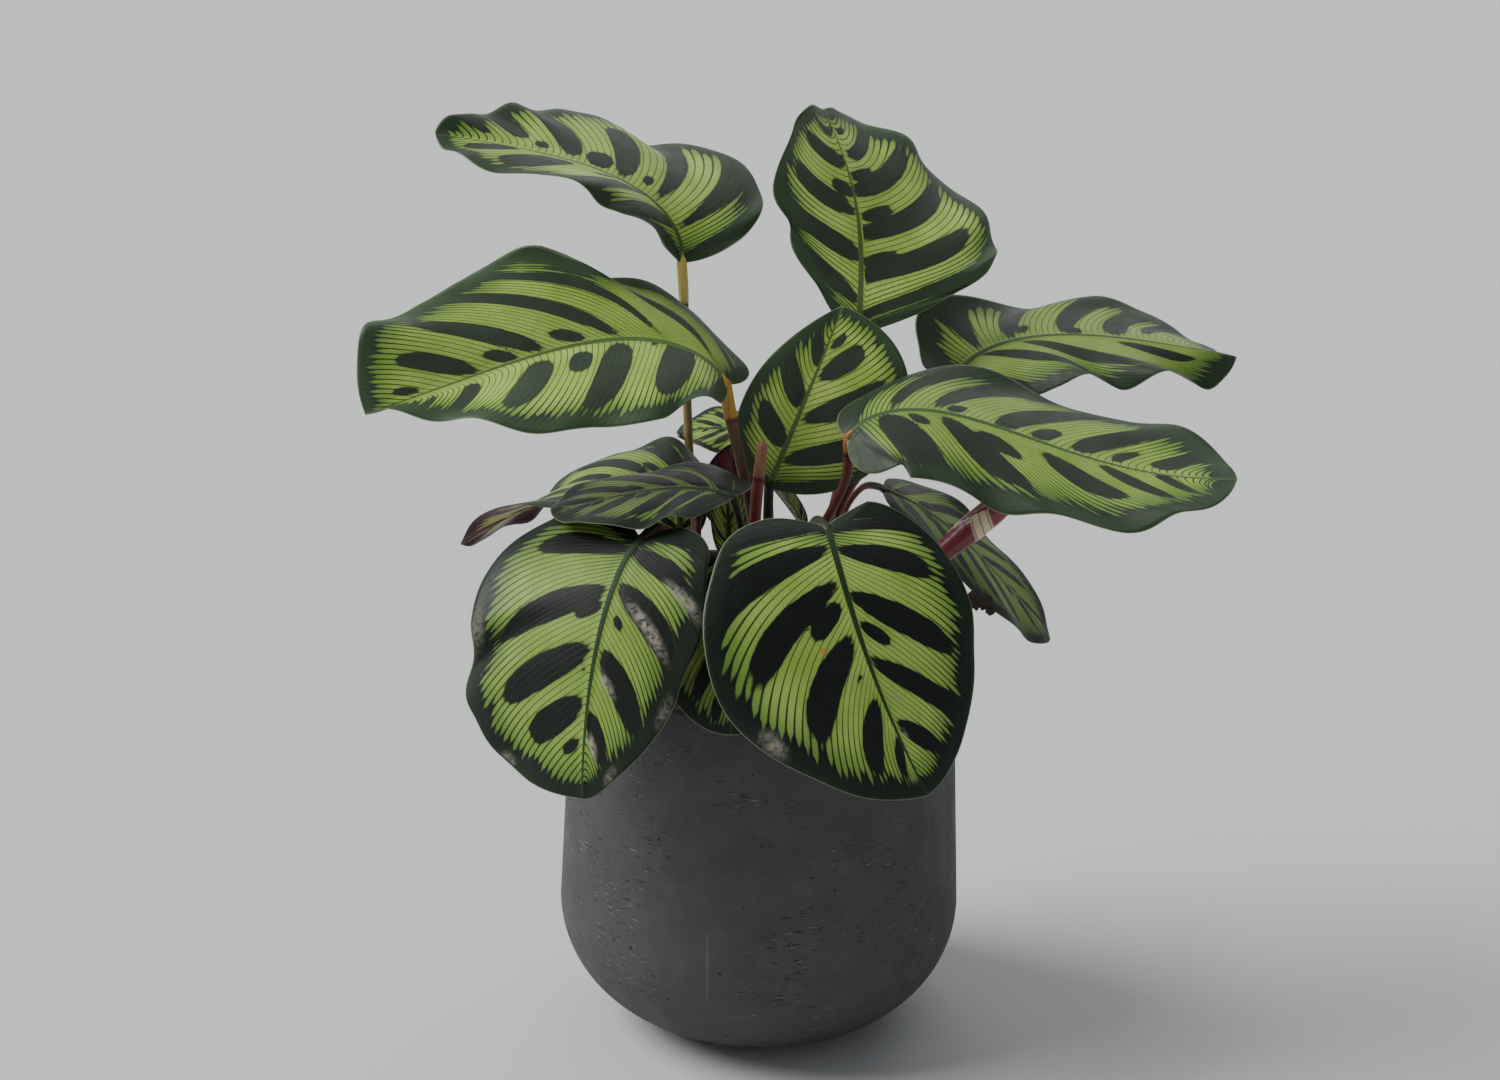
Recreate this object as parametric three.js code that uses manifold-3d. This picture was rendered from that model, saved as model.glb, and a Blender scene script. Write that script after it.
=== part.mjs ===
// A potted calathea: waved leaf blades on slender stalks, standing in a round fibre-clay pot of soil.
// Millimetres and degrees, +Z up. The pot stands on z = 0, centred on the origin; the front is -Y.
import * as THREE from 'three';
import { mergeVertices } from 'three/addons/utils/BufferGeometryUtils.js';
import Module from 'manifold-3d';

const wasm = await Module();
wasm.setup();

// ---------------------------------------------------------------- sizes
const clearance = 0.3;            // left between pieces that touch

const potHeight = 176;
const potTopRadius = 89;
const potBellyRadius = 95;        // the widest ring, where the low corner ends
const potCornerWide = 62;         // the low corner is a quarter of an ellipse
const potCornerHigh = 58;
const cornerSteps = 6;
const potWall = 7;
const potFloor = 12;
const potRimRound = 1.5;
const potSides = 36;

const soilLevel = 160;
const soilBump = 1.6;             // height of the low mounds on the soil
const soilRings = 5;
const rootDepth = 14;             // how far a stalk stands in its hole

const bladeThickness = 0.8;
const ribThickness = 1.6;         // extra depth of the midrib under the blade, at its base
const veinSpread = 0.62;          // how the side veins fan out to the margin
const veinStart = 1.5;            // how they bunch towards the base of the midrib
const firstVein = 0.033;          // the lowest side vein's place, at the end of the base's round
const rowCrowding = 1.3;          // how much closer the rows lie near the base
const lobeEnd = 0.45;             // the base lobes end this far round the margin
const midribSteps = 48;
const bendKnee = 1;               // a blade bends more near its stalk than near its tip

const stalkSides = 8;

// ---------------------------------------------------------------- colours
const leafGreen = new THREE.MeshStandardMaterial({ color: 0x4f7038, roughness: 0.5, metalness: 0 });
const youngGreen = new THREE.MeshStandardMaterial({ color: 0x5c8040, roughness: 0.5, metalness: 0 });
const stalkBrown = new THREE.MeshStandardMaterial({ color: 0x6b4a36, roughness: 0.6, metalness: 0 });
const rolledMaroon = new THREE.MeshStandardMaterial({ color: 0x6e3540, roughness: 0.45, metalness: 0 });
const dryBrown = new THREE.MeshStandardMaterial({ color: 0x4a3626, roughness: 0.9, metalness: 0 });
const potGrey = new THREE.MeshStandardMaterial({ color: 0x4b4c50, roughness: 0.85, metalness: 0 });
const soilBrown = new THREE.MeshStandardMaterial({ color: 0x2e231b, roughness: 1, metalness: 0 });

// ---------------------------------------------------------------- leaves
// base: where the blade meets its stalk. length: along the midrib. width: widest half-widths.
// Pairs are [left, right], as seen looking along the leaf from its stalk; triples are values at
// the base, the middle and the tip. heading: 0 is +X, 90 is +Y. roll: left side up. sway: turn in
// the blade's own plane. fold and curl raise each side from the midrib. wave: height, number and
// phase of the ripples on a margin. lobe: how far the base lobes reach back, as a share of the
// length. point: how gradually each side narrows to the tip. edge and raise: how far the margin
// stands out from that outline and above the blade, nine values for each side, base to tip.
// rows and columns: how finely the blade is divided. stalk: points from the soil to the base.
const level = [0, 0, 0];
const leaves = {
  upper_left: {
    base: [-41, 34, 354], length: 138, width: [42, 66], lobe: [-0.04, 0], point: [0.6, 1],
    heading: [120, 172, 184], pitch: [85, 28, 8], roll: [-22, -12, -10],
    fold: [[50, 12, 8], [12, 15, 10]], curl: [[-20, -20, -20], [-20, -20, -20]],
    wave: [[3, 3.5, 0.55], [3, 6, 0.1]], rows: 20,
    edge: [[0, 4, 6, 4, 2, -4, 1, 0, -1], [-2, -1, 3, 0, 0, 0, 0, 0, 3]],
    raise: [[0, 0, -3, -3, 0, 3, -4, -3.5, -3], [0, 0, 4, -4, -1, 6, 5, 7, 4]],
    stalk: { radius: 2.1, points: [[-30, 20, 200], [-36, 28, 257], [-38, 32, 290], [-40, 34, 337]] },
  },
  left: {
    base: [-18, -8, 305], length: 173, width: [46, 51], lobe: [0.08, -0.02], point: [0.7, 0.4],
    heading: [170, 198, 200], pitch: [60, -2, -16], roll: [-10, -26, -16],
    fold: [level, [5, 40, 40]], curl: [[-10, -10, -10], [-20, -30, -20]],
    wave: [[3, 4, 0.67], [4.5, 4.6, 0.3]], rows: 20,
    edge: [[0, -2, 3, 7, 3, 6, -3, -4, -3], [9, 1, 0, -7, 4, -4, -3, 1, 0]],
    raise: [[0, 2, -2, -5, 0, 0, 1, 2, 3], [5, -7, 0, -6, 4, -4, -4, 9, 4]],
    stalk: { radius: 2.6, points: [[-6, -8, 200], [-6, -9, 240], [-10, -9, 262], [-17, -9, 292]] },
  },
  top: {
    base: [42, 48, 320], length: 112, width: [43, 75], lobe: [-0.09, -0.1], point: [0.4, 0.6],
    heading: [85, 96, 155], pitch: [75, 68, 60], roll: level,
    fold: [[12, 10, 10], [-8, -8, -5]], curl: [[-10, -10, -10], [-10, -10, -10]],
    wave: [[2.5, 4, 0.5], [3, 5.5, 0.17]], rows: 18,
    edge: [[0, -3, -4, -5, -5, 5, 8, 8, 4.5], [0, -1, 0, -1, 3, 0, 1, 3, 3]],
    raise: [[0, 0, 0, 0, 0, 0, 0, 0, 0], [0, 0, 0, 0, 4, 3, 10, 4, 0]],
    stalk: { radius: 2.1, points: [[22, 6, 195], [29, 13, 235], [33, 23, 250], [40, 44, 300]] },
  },
  right_rear: {
    base: [89, 60, 298], length: 142, width: [46, 44], lobe: [0.08, 0.08], point: [0.6, 0.7],
    heading: [42, -4, -10], pitch: [50, 8, -8], roll: [18, 14, 12],
    fold: [[5, 5, 0], [-5, -8, -8]], curl: [[-5, -5, -15], [-20, -20, -20]],
    wave: [[4.5, 2.7, 0.63], [3.5, 4.8, 0.79]], rows: 18,
    edge: [[-3, -4, 3.5, 0, 0, 0, 0, 0, -5], [0, 0, 0, -4, -6, -3, 0, 0, 0]],
    raise: [[0, 0, 11, -4, 3, -7, -3, -3.5, -3], [0, 0, 0, 0, 4, 1, 6, -8, -9]],
    stalk: { radius: 1.7, points: [[28, 18, 200], [34, 21, 242], [44, 32, 256], [77, 52, 287]] },
  },
  right: {
    base: [35, -22, 285], length: 180, width: [50, 47], lobe: [-0.02, 0.09], point: [0.7, 0.48],
    heading: [30, -14, -22], pitch: [50, -12, 8], roll: [10, 22, 20],
    fold: [[0, -5, -5], [-5, -5, -5]], curl: [[-15, -15, -15], [-15, -15, -15]],
    wave: [[4, 2.6, 0.37], [2.5, 5, 0.2]], rows: 20,
    edge: [[0, 0, 0, 0, 0, 0, 0, 2, 0], [4, 6, 5, -2, -4, -8, -3, -5, -1]],
    raise: [[0, 0, 0, 3, 1, 4, 7, 5, 4], [0, 0, 0, 0, 0, 0, 0, 0, 0]],
    stalk: { radius: 2.1, points: [[14, -8, 195], [24, -12, 237], [31, -12, 252], [36, -14, 266]] },
  },
  centre: {
    base: [1, 14, 253], length: 92, width: [28, 48], lobe: [0, 0], point: [0.9, 0.45],
    heading: [88, 84, 84], pitch: [75, 74, 70], roll: [8, 8, 8], sway: [-20, -20, -18],
    fold: [[20, 20, 20], level], curl: [[-10, -10, -10], [-10, -10, -10]],
    wave: [[1, 3, 0], [1, 3, 0]],
    stalk: { radius: 2, points: [[4, 4, 190], [1, 11, 230], [1, 13.5, 246]] },
  },
  front_left: {
    base: [-53, -75, 251], length: 116, width: [40, 68], lobe: [0.12, 0.17], point: [0.75, 0.42],
    heading: [-115, -108, -115], pitch: [-30, -60, -80], roll: level, sway: [-10, -4.5, 5],
    fold: [level, level], curl: [[-15, -15, -15], [-15, -15, -15]],
    wave: [[1, 3, 0], [3, 4, 0.4]],
    edge: [[6, 6, 2, 3, 0, 2, 2, 1, 1], [0, 0, 3, 1, -10, -3, -6, -4, -2]],
    raise: [[0, 0, 0, 0, 0, 0, 0, 0, 0], [0, 0, 0, 0, 0, 0, 0, 0, 0]],
    stalk: { radius: 2, points: [[-20, -24, 195], [-34, -42, 236], [-46, -60, 252]] },
  },
  front_right: {
    base: [25.5, -75, 258], length: 125, width: [56, 62], lobe: [0.18, 0.06], point: [0.45, 0.7],
    heading: [-72, -72, -72], pitch: [-22, -58, -68], roll: level, sway: [-5, 8, 24],
    fold: [level, level], curl: [[-12, -12, -12], [-8, -8, -8]],
    wave: [[1, 3, 0], [1, 3, 0]],
    edge: [[0, -1, 4, 1.5, -2.5, -7, -9, -8.5, -4.5], [4, 2, 0, 3, 4, 1, -1.5, -0.5, -0.5]],
    raise: [[4, 4, 0, 0, 0, 0, 0, 0, 0], [0, 0, 0, 0, 0, 0, 0, 0, 0]],
    stalk: { radius: 2, points: [[10, -26, 195], [16, -42, 236], [21.5, -60, 256]] },
  },
  low_left_rear: {
    base: [-32, -8, 260], length: 114, width: [32, 36], lobe: [0.03, 0.03], point: [0.75, 0.75],
    heading: [170, 182, 196], pitch: [12, -10, -32], roll: [-20, -10, 50],
    fold: [level, [5, 10, 10]], curl: [[-10, -10, -10], [-20, -20, -20]],
    wave: [[2, 3, 0], [3, 4, 0.2]], rows: 14,
    stalk: { radius: 1.6, points: [[-32, -4, 195], [-31, -6, 235], [-31.5, -7.5, 256]] },
  },
  low_left: {
    base: [-14, -48, 263], length: 82, width: [34, 34], lobe: [0.06, 0.06], point: [0.5, 0.5],
    heading: [150, 184, 196], pitch: [15, -3, -16], roll: [-5, -6, 0],
    fold: [level, [10, 10, 10]], curl: [[-10, -10, -10], [-25, -25, -25]],
    wave: [[2, 3, 0], [2, 3, 0.2]], rows: 14,
    stalk: { radius: 1.6, points: [[-9, -28, 195], [-9, -38, 235], [-13, -46.5, 258]] },
  },
  front_middle: {
    base: [-17, -52, 240], length: 88, width: [32, 32], lobe: [0.05, 0.05], point: [0.5, 0.5],
    heading: [-85, -85, -85], pitch: [-5, -50, -80], roll: level,
    fold: [level, level], curl: [[-15, -15, -15], [-15, -15, -15]],
    wave: [[1, 2, 0], [1, 2, 0]], rows: 12, columns: 4,
    stalk: { radius: 1.6, points: [[-4, -36, 195], [-12, -43, 228], [-16, -49, 239]] },
  },
  low_right: {
    base: [57, 55, 244], length: 122, width: [32, 31], lobe: [0.03, 0.03], point: [0.6, 0.6],
    heading: [0, 15, 10], pitch: [-20, -40, -52], roll: [0, 12, 20],
    fold: [[10, 10, 10], [-10, -10, -10]], curl: [level, [-10, -10, -10]],
    wave: [[2, 3, 0], [2, 3, 0.3]], rows: 14,
    stalk: { radius: 1.6, points: [[34, 30, 200], [37, 29, 238], [46, 40, 248], [54, 50, 246]] },
  },
  rear_small: {
    base: [-6, 70, 264], length: 40, width: [18, 18], lobe: [0.05, 0.05], point: [0.75, 0.75],
    heading: [170, 175, 180], pitch: [40, 5, -10], roll: [-10, -20, -20],
    fold: [level, [10, 10, 10]], curl: [[-15, -15, -15], [-15, -15, -15]],
    wave: [[1, 2, 0], [1, 2, 0.2]], rows: 10, columns: 4,
    stalk: { radius: 1.4, points: [[2, 46, 200], [2, 60, 235], [-3, 69, 259]] },
  },
  inner_left: {
    base: [-41, 37, 222], length: 52, width: [15, 15], lobe: [0.05, 0.05], point: [0.75, 0.75],
    heading: [100, 100, 100], pitch: [80, 60, 30], roll: level,
    fold: [level, level], curl: [[-20, -20, -20], [-20, -20, -20]],
    wave: [[0, 2, 0], [0, 2, 0]], rows: 10, columns: 4,
    stalk: { radius: 1.4, points: [[-41, 33, 190], [-41, 36, 208]] },
  },
  inner_rear: {
    base: [-17, 62, 222], length: 46, width: [15, 15], lobe: [0.05, 0.05], point: [0.75, 0.75],
    heading: [-90, -90, -90], pitch: [88, 80, 60], roll: level,
    fold: [level, level], curl: [[-10, -10, -10], [-10, -10, -10]],
    wave: [[0, 2, 0], [0, 2, 0]], rows: 10, columns: 4,
    stalk: { radius: 1.4, points: [[-20, 46, 190], [-18, 58, 208]] },
  },
  inner_young: {
    base: [-17, 8, 222], length: 40, width: [9, 9], lobe: [0.05, 0.05], point: [0.75, 0.75],
    heading: [100, 100, 100], pitch: [80, 75, 60], roll: level,
    fold: [[25, 15, 0], [25, 15, 0]], curl: [level, level],
    wave: [[0, 2, 0], [0, 2, 0]], rows: 10, columns: 3,
    stalk: { radius: 1.4, points: [[-17, 10, 190], [-17, 8, 208]] },
  },
  inner_low: {
    base: [18, 27, 232], length: 36, width: [9, 9], lobe: [0.05, 0.05], point: [0.75, 0.75],
    heading: [160, 160, 160], pitch: [55, 50, 30], roll: level,
    fold: [[10, 10, 10], [10, 10, 10]], curl: [level, level],
    wave: [[0, 2, 0], [0, 2, 0]], rows: 10, columns: 3,
    stalk: { radius: 1.4, points: [[16, 25, 190], [17, 26.5, 218]] },
  },
};

// A new leaf, still rolled into a spear on its own stalk, and the stump of a leaf cut off earlier.
const spear = {
  foot: [70, 1, 216], tip: [122, -7, 266], lowRadius: 4.4, highRadius: 6.4,
  stalk: { radius: 2.2, points: [[38, 0, 180], [56, 2, 203]] },
};
const cutStalk = { radius: 2.8, points: [[-4, -17, 200], [-5, -16, 244], [-2, -15, 281]] };

// A withered scrap of a leaf: a thin strip that curls over at the top of its dry stalk.
const driedLeaf = {
  width: 6, thickness: 0.8, steps: 12,
  points: [[91, -10, 204], [95, -10, 208], [101, -9, 208], [104, -9, 203.5], [101, -10, 200], [98, -10, 202]],
  stalk: { radius: 1, points: [[60, -14, 185], [76, -12, 195], [90.7, -10.1, 203.5]] },
};

// ---------------------------------------------------------------- solids and meshes
// Vertices and triangles as a solid that can be joined and cut.
function solidFromArrays(positions, triangles) {
  const mesh = new wasm.Mesh({
    numProp: 3,
    vertProperties: new Float32Array(positions),
    triVerts: new Uint32Array(triangles),
  });
  return new wasm.Manifold(mesh);
}

// A closed three.js geometry as such a solid.
function solidFromGeometry(geometry) {
  const bare = geometry.clone();
  bare.deleteAttribute('normal');
  bare.deleteAttribute('uv');
  const merged = mergeVertices(bare, 1e-4);
  return solidFromArrays(merged.attributes.position.array, merged.index.array);
}

function meshFromSolid(name, solid, material) {
  const data = solid.getMesh();
  const geometry = new THREE.BufferGeometry();
  geometry.setAttribute('position', new THREE.BufferAttribute(data.vertProperties, 3));
  geometry.setIndex(new THREE.BufferAttribute(data.triVerts, 1));
  geometry.computeVertexNormals();
  const mesh = new THREE.Mesh(geometry, material);
  mesh.name = name;
  return mesh;
}

// The part of a cut solid that reaches lowest.
function lowestPiece(solid) {
  const pieces = solid.decompose();
  const floorOf = (piece) => piece.boundingBox().min[2];
  return pieces.reduce((best, piece) => (floorOf(piece) < floorOf(best) ? piece : best));
}

// ---------------------------------------------------------------- blades
const radians = (degrees) => THREE.MathUtils.degToRad(degrees);

// A smooth value along the leaf, through its values at the base, the middle and the tip.
function along(values, share) {
  const u = THREE.MathUtils.clamp(share, 0, 1);
  return smooth(values, (1 + bendKnee) * u / (u + bendKnee));
}

function smooth([base, middle, tip], u) {
  return base * (1 - u) * (1 - 2 * u) + middle * 4 * u * (1 - u) + tip * u * (2 * u - 1);
}

// Directions at a place on the midrib: forward, to the leaf's left, and up out of the blade.
function frameAt(leaf, share) {
  const heading = radians(along(leaf.heading, share));
  const pitch = radians(along(leaf.pitch, share));
  const roll = radians(along(leaf.roll, share));
  const sway = radians(along(leaf.sway ?? level, share));
  const forward = new THREE.Vector3(
    Math.cos(pitch) * Math.cos(heading), Math.cos(pitch) * Math.sin(heading), Math.sin(pitch));
  const left = new THREE.Vector3(-Math.sin(heading), Math.cos(heading), 0);
  left.applyAxisAngle(forward, roll);
  const up = forward.clone().cross(left);
  forward.applyAxisAngle(up, sway);
  left.applyAxisAngle(up, sway);
  return { forward, left, up };
}

// The midrib's curve, stepped out from the base.
function midribOf(leaf) {
  const points = [new THREE.Vector3(...leaf.base)];
  for (let i = 0; i < midribSteps; i += 1) {
    const { forward } = frameAt(leaf, (i + 0.5) / midribSteps);
    points.push(points[i].clone().addScaledVector(forward, leaf.length / midribSteps));
  }
  return points;
}

// A place on the flat leaf, x along the midrib and y to the left, brought to where it is in space.
// lift is along the blade's own normal.
function placeOnLeaf(leaf, midrib, x, y, lift) {
  const share = THREE.MathUtils.clamp(x / leaf.length, 0, 1);
  const step = Math.min(Math.floor(share * midribSteps), midribSteps - 1);
  const centre = midrib[step].clone().lerp(midrib[step + 1], share * midribSteps - step);
  const { forward, left, up } = frameAt(leaf, share);
  centre.addScaledVector(forward, x - share * leaf.length);
  const side = y >= 0 ? 0 : 1;
  const outward = left.clone().multiplyScalar(y >= 0 ? 1 : -1);
  const distance = Math.abs(y);
  const fold = radians(smooth(leaf.fold[side], share));
  let bend = radians(smooth(leaf.curl[side], share)) / leaf.width[side];
  if (Math.abs(bend) < 1e-6) bend = 1e-6;
  const slope = fold + bend * distance;
  centre.addScaledVector(outward, (Math.sin(slope) - Math.sin(fold)) / bend);
  centre.addScaledVector(up, (Math.cos(fold) - Math.cos(slope)) / bend);
  centre.addScaledVector(up, lift * Math.cos(slope));
  centre.addScaledVector(outward, -lift * Math.sin(slope));
  return centre;
}

// A smooth value round a margin, from evenly spaced ones; it starts and ends at zero.
function roundMargin(values, rim) {
  const all = [0, ...values, 0];
  const at = Math.min(rim, 0.9999) * (all.length - 1);
  const i = Math.floor(at);
  const near = [i - 1, i, i + 1, i + 2].map((k) => all[THREE.MathUtils.clamp(k, 0, all.length - 1)]);
  const [a, b, c, d] = near;
  const u = at - i;
  return b + u / 2 * (c - a + u * (2 * a - 5 * b + 4 * c - d + u * (3 * b - a - 3 * c + d)));
}

// The plain outline of one side at a share of the way round it, [x, distance from the midrib].
function plainOutline(leaf, side, rim) {
  const share = (1 - Math.cos(Math.PI * rim)) / 2;
  const point = leaf.point[side];
  const widest = 0.5 / (0.5 + point);
  const breadth = (u) => Math.sqrt(u) * Math.pow(1 - u, point);
  const lobeBack = leaf.lobe[side] * Math.sin(Math.PI * Math.min(rim / lobeEnd, 1));
  return [leaf.length * (share - lobeBack), leaf.width[side] * breadth(share) / breadth(widest)];
}

// That outline with the leaf's own margin, square to it.
function outlineAt(leaf, side, rim) {
  const [x, y] = plainOutline(leaf, side, rim);
  if (!leaf.edge) return [x, y];
  const [low, high] = [-0.002, 0.002].map((d) => (
    plainOutline(leaf, side, THREE.MathUtils.clamp(rim + d, 0.002, 0.998))));
  const run = high[0] - low[0];
  const rise = high[1] - low[1];
  const out = roundMargin(leaf.edge[side], rim) / Math.max(Math.hypot(run, rise), 1e-9);
  return [x - rise * out, y + run * out];
}

// A point of the blade's surface. row runs 0 to 1 up the leaf: at 0 it is the margin round the
// base, and above that a side vein. across runs from -1 on the right margin through 0 on the
// midrib to 1 on the left margin.
function bladePoint(leaf, midrib, row, across, lift) {
  const side = across >= 0 ? 0 : 1;
  const reach = Math.abs(across);
  const vein = firstVein + (1 - firstVein) * Math.pow(row, rowCrowding);
  const rim = Math.pow(vein, veinSpread) * (row > 0 ? 1 : reach);
  let [x, y] = outlineAt(leaf, side, rim);
  if (row > 0) {
    const start = leaf.length * (0.4 * Math.pow(vein, veinStart) + 0.6 * vein);
    const bow = Math.min(rim / 0.35, 1);
    x = start + (x - start) * reach * (1 - 0.45 * bow * (1 - reach));
    y *= reach * (1 + 0.28 * bow * (1 - reach));
  }
  const [height, number, phase] = leaf.wave[side];
  const turn = 2 * Math.PI;
  const ripple = Math.sin(turn * (number * rim + phase))
    + 0.35 * Math.sin(turn * (1.7 * number * rim + 2.3 * phase));
  let rippleHeight = height * Math.sin(Math.PI * rim) * ripple;
  if (leaf.raise) rippleHeight += roundMargin(leaf.raise[side], rim);
  return placeOnLeaf(leaf, midrib, x, side === 0 ? y : -y, lift + rippleHeight * Math.pow(reach, 2.2));
}

// A closed blade: two skins of the same triangles, joined round the margin. spare thickens it
// all over, for cutting room out of its stalk.
function bladeSolid(leaf, spare = 0) {
  const rows = leaf.rows ?? 16;
  const columns = leaf.columns ?? 5;
  const midrib = midribOf(leaf);
  const acrossAt = [];
  for (let j = -columns; j <= columns; j += 1) {
    const share = Math.abs(j) / columns;
    acrossAt.push(Math.sign(j) * (j === 0 ? 0 : 0.08 + 0.92 * (share - 1 / columns) / (1 - 1 / columns)));
  }
  const positions = [];
  const skins = [];
  for (const face of [1, -1]) {
    const grid = [];
    for (let i = 0; i <= rows; i += 1) {
      const tip = i === rows;
      const row = [];
      for (const across of acrossAt) {
        const onRib = face < 0 && Math.abs(across) < 0.01 && !tip;
        const rib = onRib ? ribThickness * (1 - 0.8 * i / rows) : 0;
        const lift = face * (bladeThickness / 2 + spare) - rib;
        if (tip && row.length > 0) {
          row.push(row[0]);
        } else {
          row.push(positions.length / 3);
          positions.push(...bladePoint(leaf, midrib, i / rows, tip ? 0 : across, lift).toArray());
        }
      }
      grid.push(row);
    }
    skins.push(grid);
  }
  const triangles = [];
  const addTriangle = (a, b, c) => {
    if (a !== b && b !== c && c !== a) triangles.push(a, b, c);
  };
  const [top, under] = skins;
  const last = acrossAt.length - 1;
  for (let i = 0; i < rows; i += 1) {
    for (let j = 0; j < last; j += 1) {
      const corners = [[i, j], [i + 1, j], [i + 1, j + 1], [i, j + 1]];
      const [a, b, c, d] = corners.map(([r, k]) => top[r][k]);
      const [e, f, g, h] = corners.map(([r, k]) => under[r][k]);
      addTriangle(a, b, c);
      addTriangle(a, c, d);
      addTriangle(e, g, f);
      addTriangle(e, h, g);
      if (i === 0) {
        addTriangle(a, d, h);
        addTriangle(a, h, e);
      }
    }
    for (const [edge, flip] of [[0, false], [last, true]]) {
      const [a, b, c, d] = [top[i][edge], top[i + 1][edge], under[i + 1][edge], under[i][edge]];
      if (flip) {
        addTriangle(a, b, c);
        addTriangle(a, c, d);
      } else {
        addTriangle(a, c, b);
        addTriangle(a, d, c);
      }
    }
  }
  return solidFromArrays(positions, triangles);
}

// ---------------------------------------------------------------- stalks
// A round stalk along a smooth curve that starts upright in the soil.
function stalkSolid({ radius, points }, end) {
  const [x, y] = points[0];
  const path = [
    [x, y, soilLevel - rootDepth + clearance],
    [x, y, soilLevel - rootDepth / 2],
    [x, y, soilLevel + 4],
    ...points,
  ];
  if (end) path.push(end);
  const curve = new THREE.CatmullRomCurve3(path.map((p) => new THREE.Vector3(...p)), false, 'centripetal');
  const section = new THREE.Shape();
  for (let i = 0; i < stalkSides; i += 1) {
    const angle = 2 * Math.PI * i / stalkSides;
    const [u, v] = [radius * Math.cos(angle), radius * Math.sin(angle)];
    if (i === 0) section.moveTo(u, v);
    else section.lineTo(u, v);
  }
  const steps = Math.round(curve.getLength() / 25) + 2;
  return solidFromGeometry(new THREE.ExtrudeGeometry(section, { steps, extrudePath: curve }));
}

// ---------------------------------------------------------------- pot and soil
// The pot's wall from the middle of the base, out over the low corner and up, [radius, z].
// inset moves it inward for the inner face.
function wallProfile(inset, floor, top) {
  const profile = [new THREE.Vector2(0, floor)];
  for (let i = 0; i <= cornerSteps; i += 1) {
    const angle = i / cornerSteps * Math.PI / 2;
    profile.push(new THREE.Vector2(
      potBellyRadius - potCornerWide + (potCornerWide - inset) * Math.sin(angle),
      floor + (potCornerHigh - floor) * (1 - Math.cos(angle))));
  }
  const taper = (potBellyRadius - potTopRadius) / (potHeight - potCornerHigh);
  profile.push(new THREE.Vector2(potBellyRadius - inset - taper * (top - potCornerHigh), top));
  return profile;
}

function potSolid() {
  const outer = wallProfile(0, 0, potHeight - potRimRound);
  const inner = wallProfile(potWall, potFloor, potHeight - potRimRound).reverse();
  const rim = [
    new THREE.Vector2(potTopRadius - potRimRound, potHeight),
    new THREE.Vector2(potTopRadius - potWall + potRimRound, potHeight),
  ];
  const profile = [...outer, ...rim, ...inner];
  return solidFromGeometry(uprightLathe(profile));
}

// A turned shape about +Z; three.js turns its profiles about +Y.
function uprightLathe(profile, sides = potSides) {
  return new THREE.LatheGeometry(profile, sides).rotateX(Math.PI / 2);
}

function soilMound(x, y) {
  const broad = Math.sin(x / 15 + 1) * Math.cos(y / 13 - 0.5);
  const small = Math.sin(x / 7 - y / 9) * Math.sin(y / 6 + 2);
  return soilBump * (0.65 * broad + 0.35 * small);
}

function soilSolid(roots) {
  const wall = wallProfile(potWall + clearance, potFloor + clearance, soilLevel);
  const edge = wall[wall.length - 1].x;
  const surface = [];
  for (let i = soilRings - 1; i >= 0; i -= 1) {
    surface.push(new THREE.Vector2(edge * i / soilRings, soilLevel));
  }
  const geometry = uprightLathe([...wall, ...surface]);
  const position = geometry.attributes.position;
  for (let i = 0; i < position.count; i += 1) {
    if (position.getZ(i) > soilLevel - 0.01) {
      position.setZ(i, soilLevel + soilMound(position.getX(i), position.getY(i)));
    }
  }
  let soil = solidFromGeometry(geometry);
  for (const { radius, points: [[x, y]] } of roots) {
    const hole = new THREE.CylinderGeometry(radius + 0.5, radius + 0.5, 2 * rootDepth, 8);
    hole.rotateX(Math.PI / 2).translate(x, y, soilLevel);
    soil = soil.subtract(solidFromGeometry(hole));
  }
  return soil;
}

// ---------------------------------------------------------------- spear
// A rolled leaf: a slim spindle from its stalk to its pointed tip.
function spearSolid() {
  const foot = new THREE.Vector3(...spear.foot);
  const reach = new THREE.Vector3(...spear.tip).sub(foot);
  const length = reach.length();
  const profile = [
    [0, clearance], [spear.stalk.radius, clearance], [spear.lowRadius, 0.14 * length],
    [spear.highRadius, 0.5 * length], [spear.highRadius, 0.68 * length],
    [0.6 * spear.highRadius, 0.9 * length], [0, length],
  ].map(([r, z]) => new THREE.Vector2(r, z));
  const turned = new THREE.LatheGeometry(profile, 12);
  const aim = new THREE.Quaternion().setFromUnitVectors(new THREE.Vector3(0, 1, 0), reach.normalize());
  turned.applyQuaternion(aim).translate(...spear.foot);
  return solidFromGeometry(turned);
}

// A strip of even width bent along the scrap's curl.
function driedLeafSolid() {
  const { width, thickness, steps, points } = driedLeaf;
  const curve = new THREE.CatmullRomCurve3(points.map((p) => new THREE.Vector3(...p)), false, 'centripetal');
  const section = new THREE.Shape();
  section.moveTo(-width / 2, -thickness / 2);
  section.lineTo(width / 2, -thickness / 2);
  section.lineTo(width / 2, thickness / 2);
  section.lineTo(-width / 2, thickness / 2);
  return solidFromGeometry(new THREE.ExtrudeGeometry(section, { steps, extrudePath: curve }));
}

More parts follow.
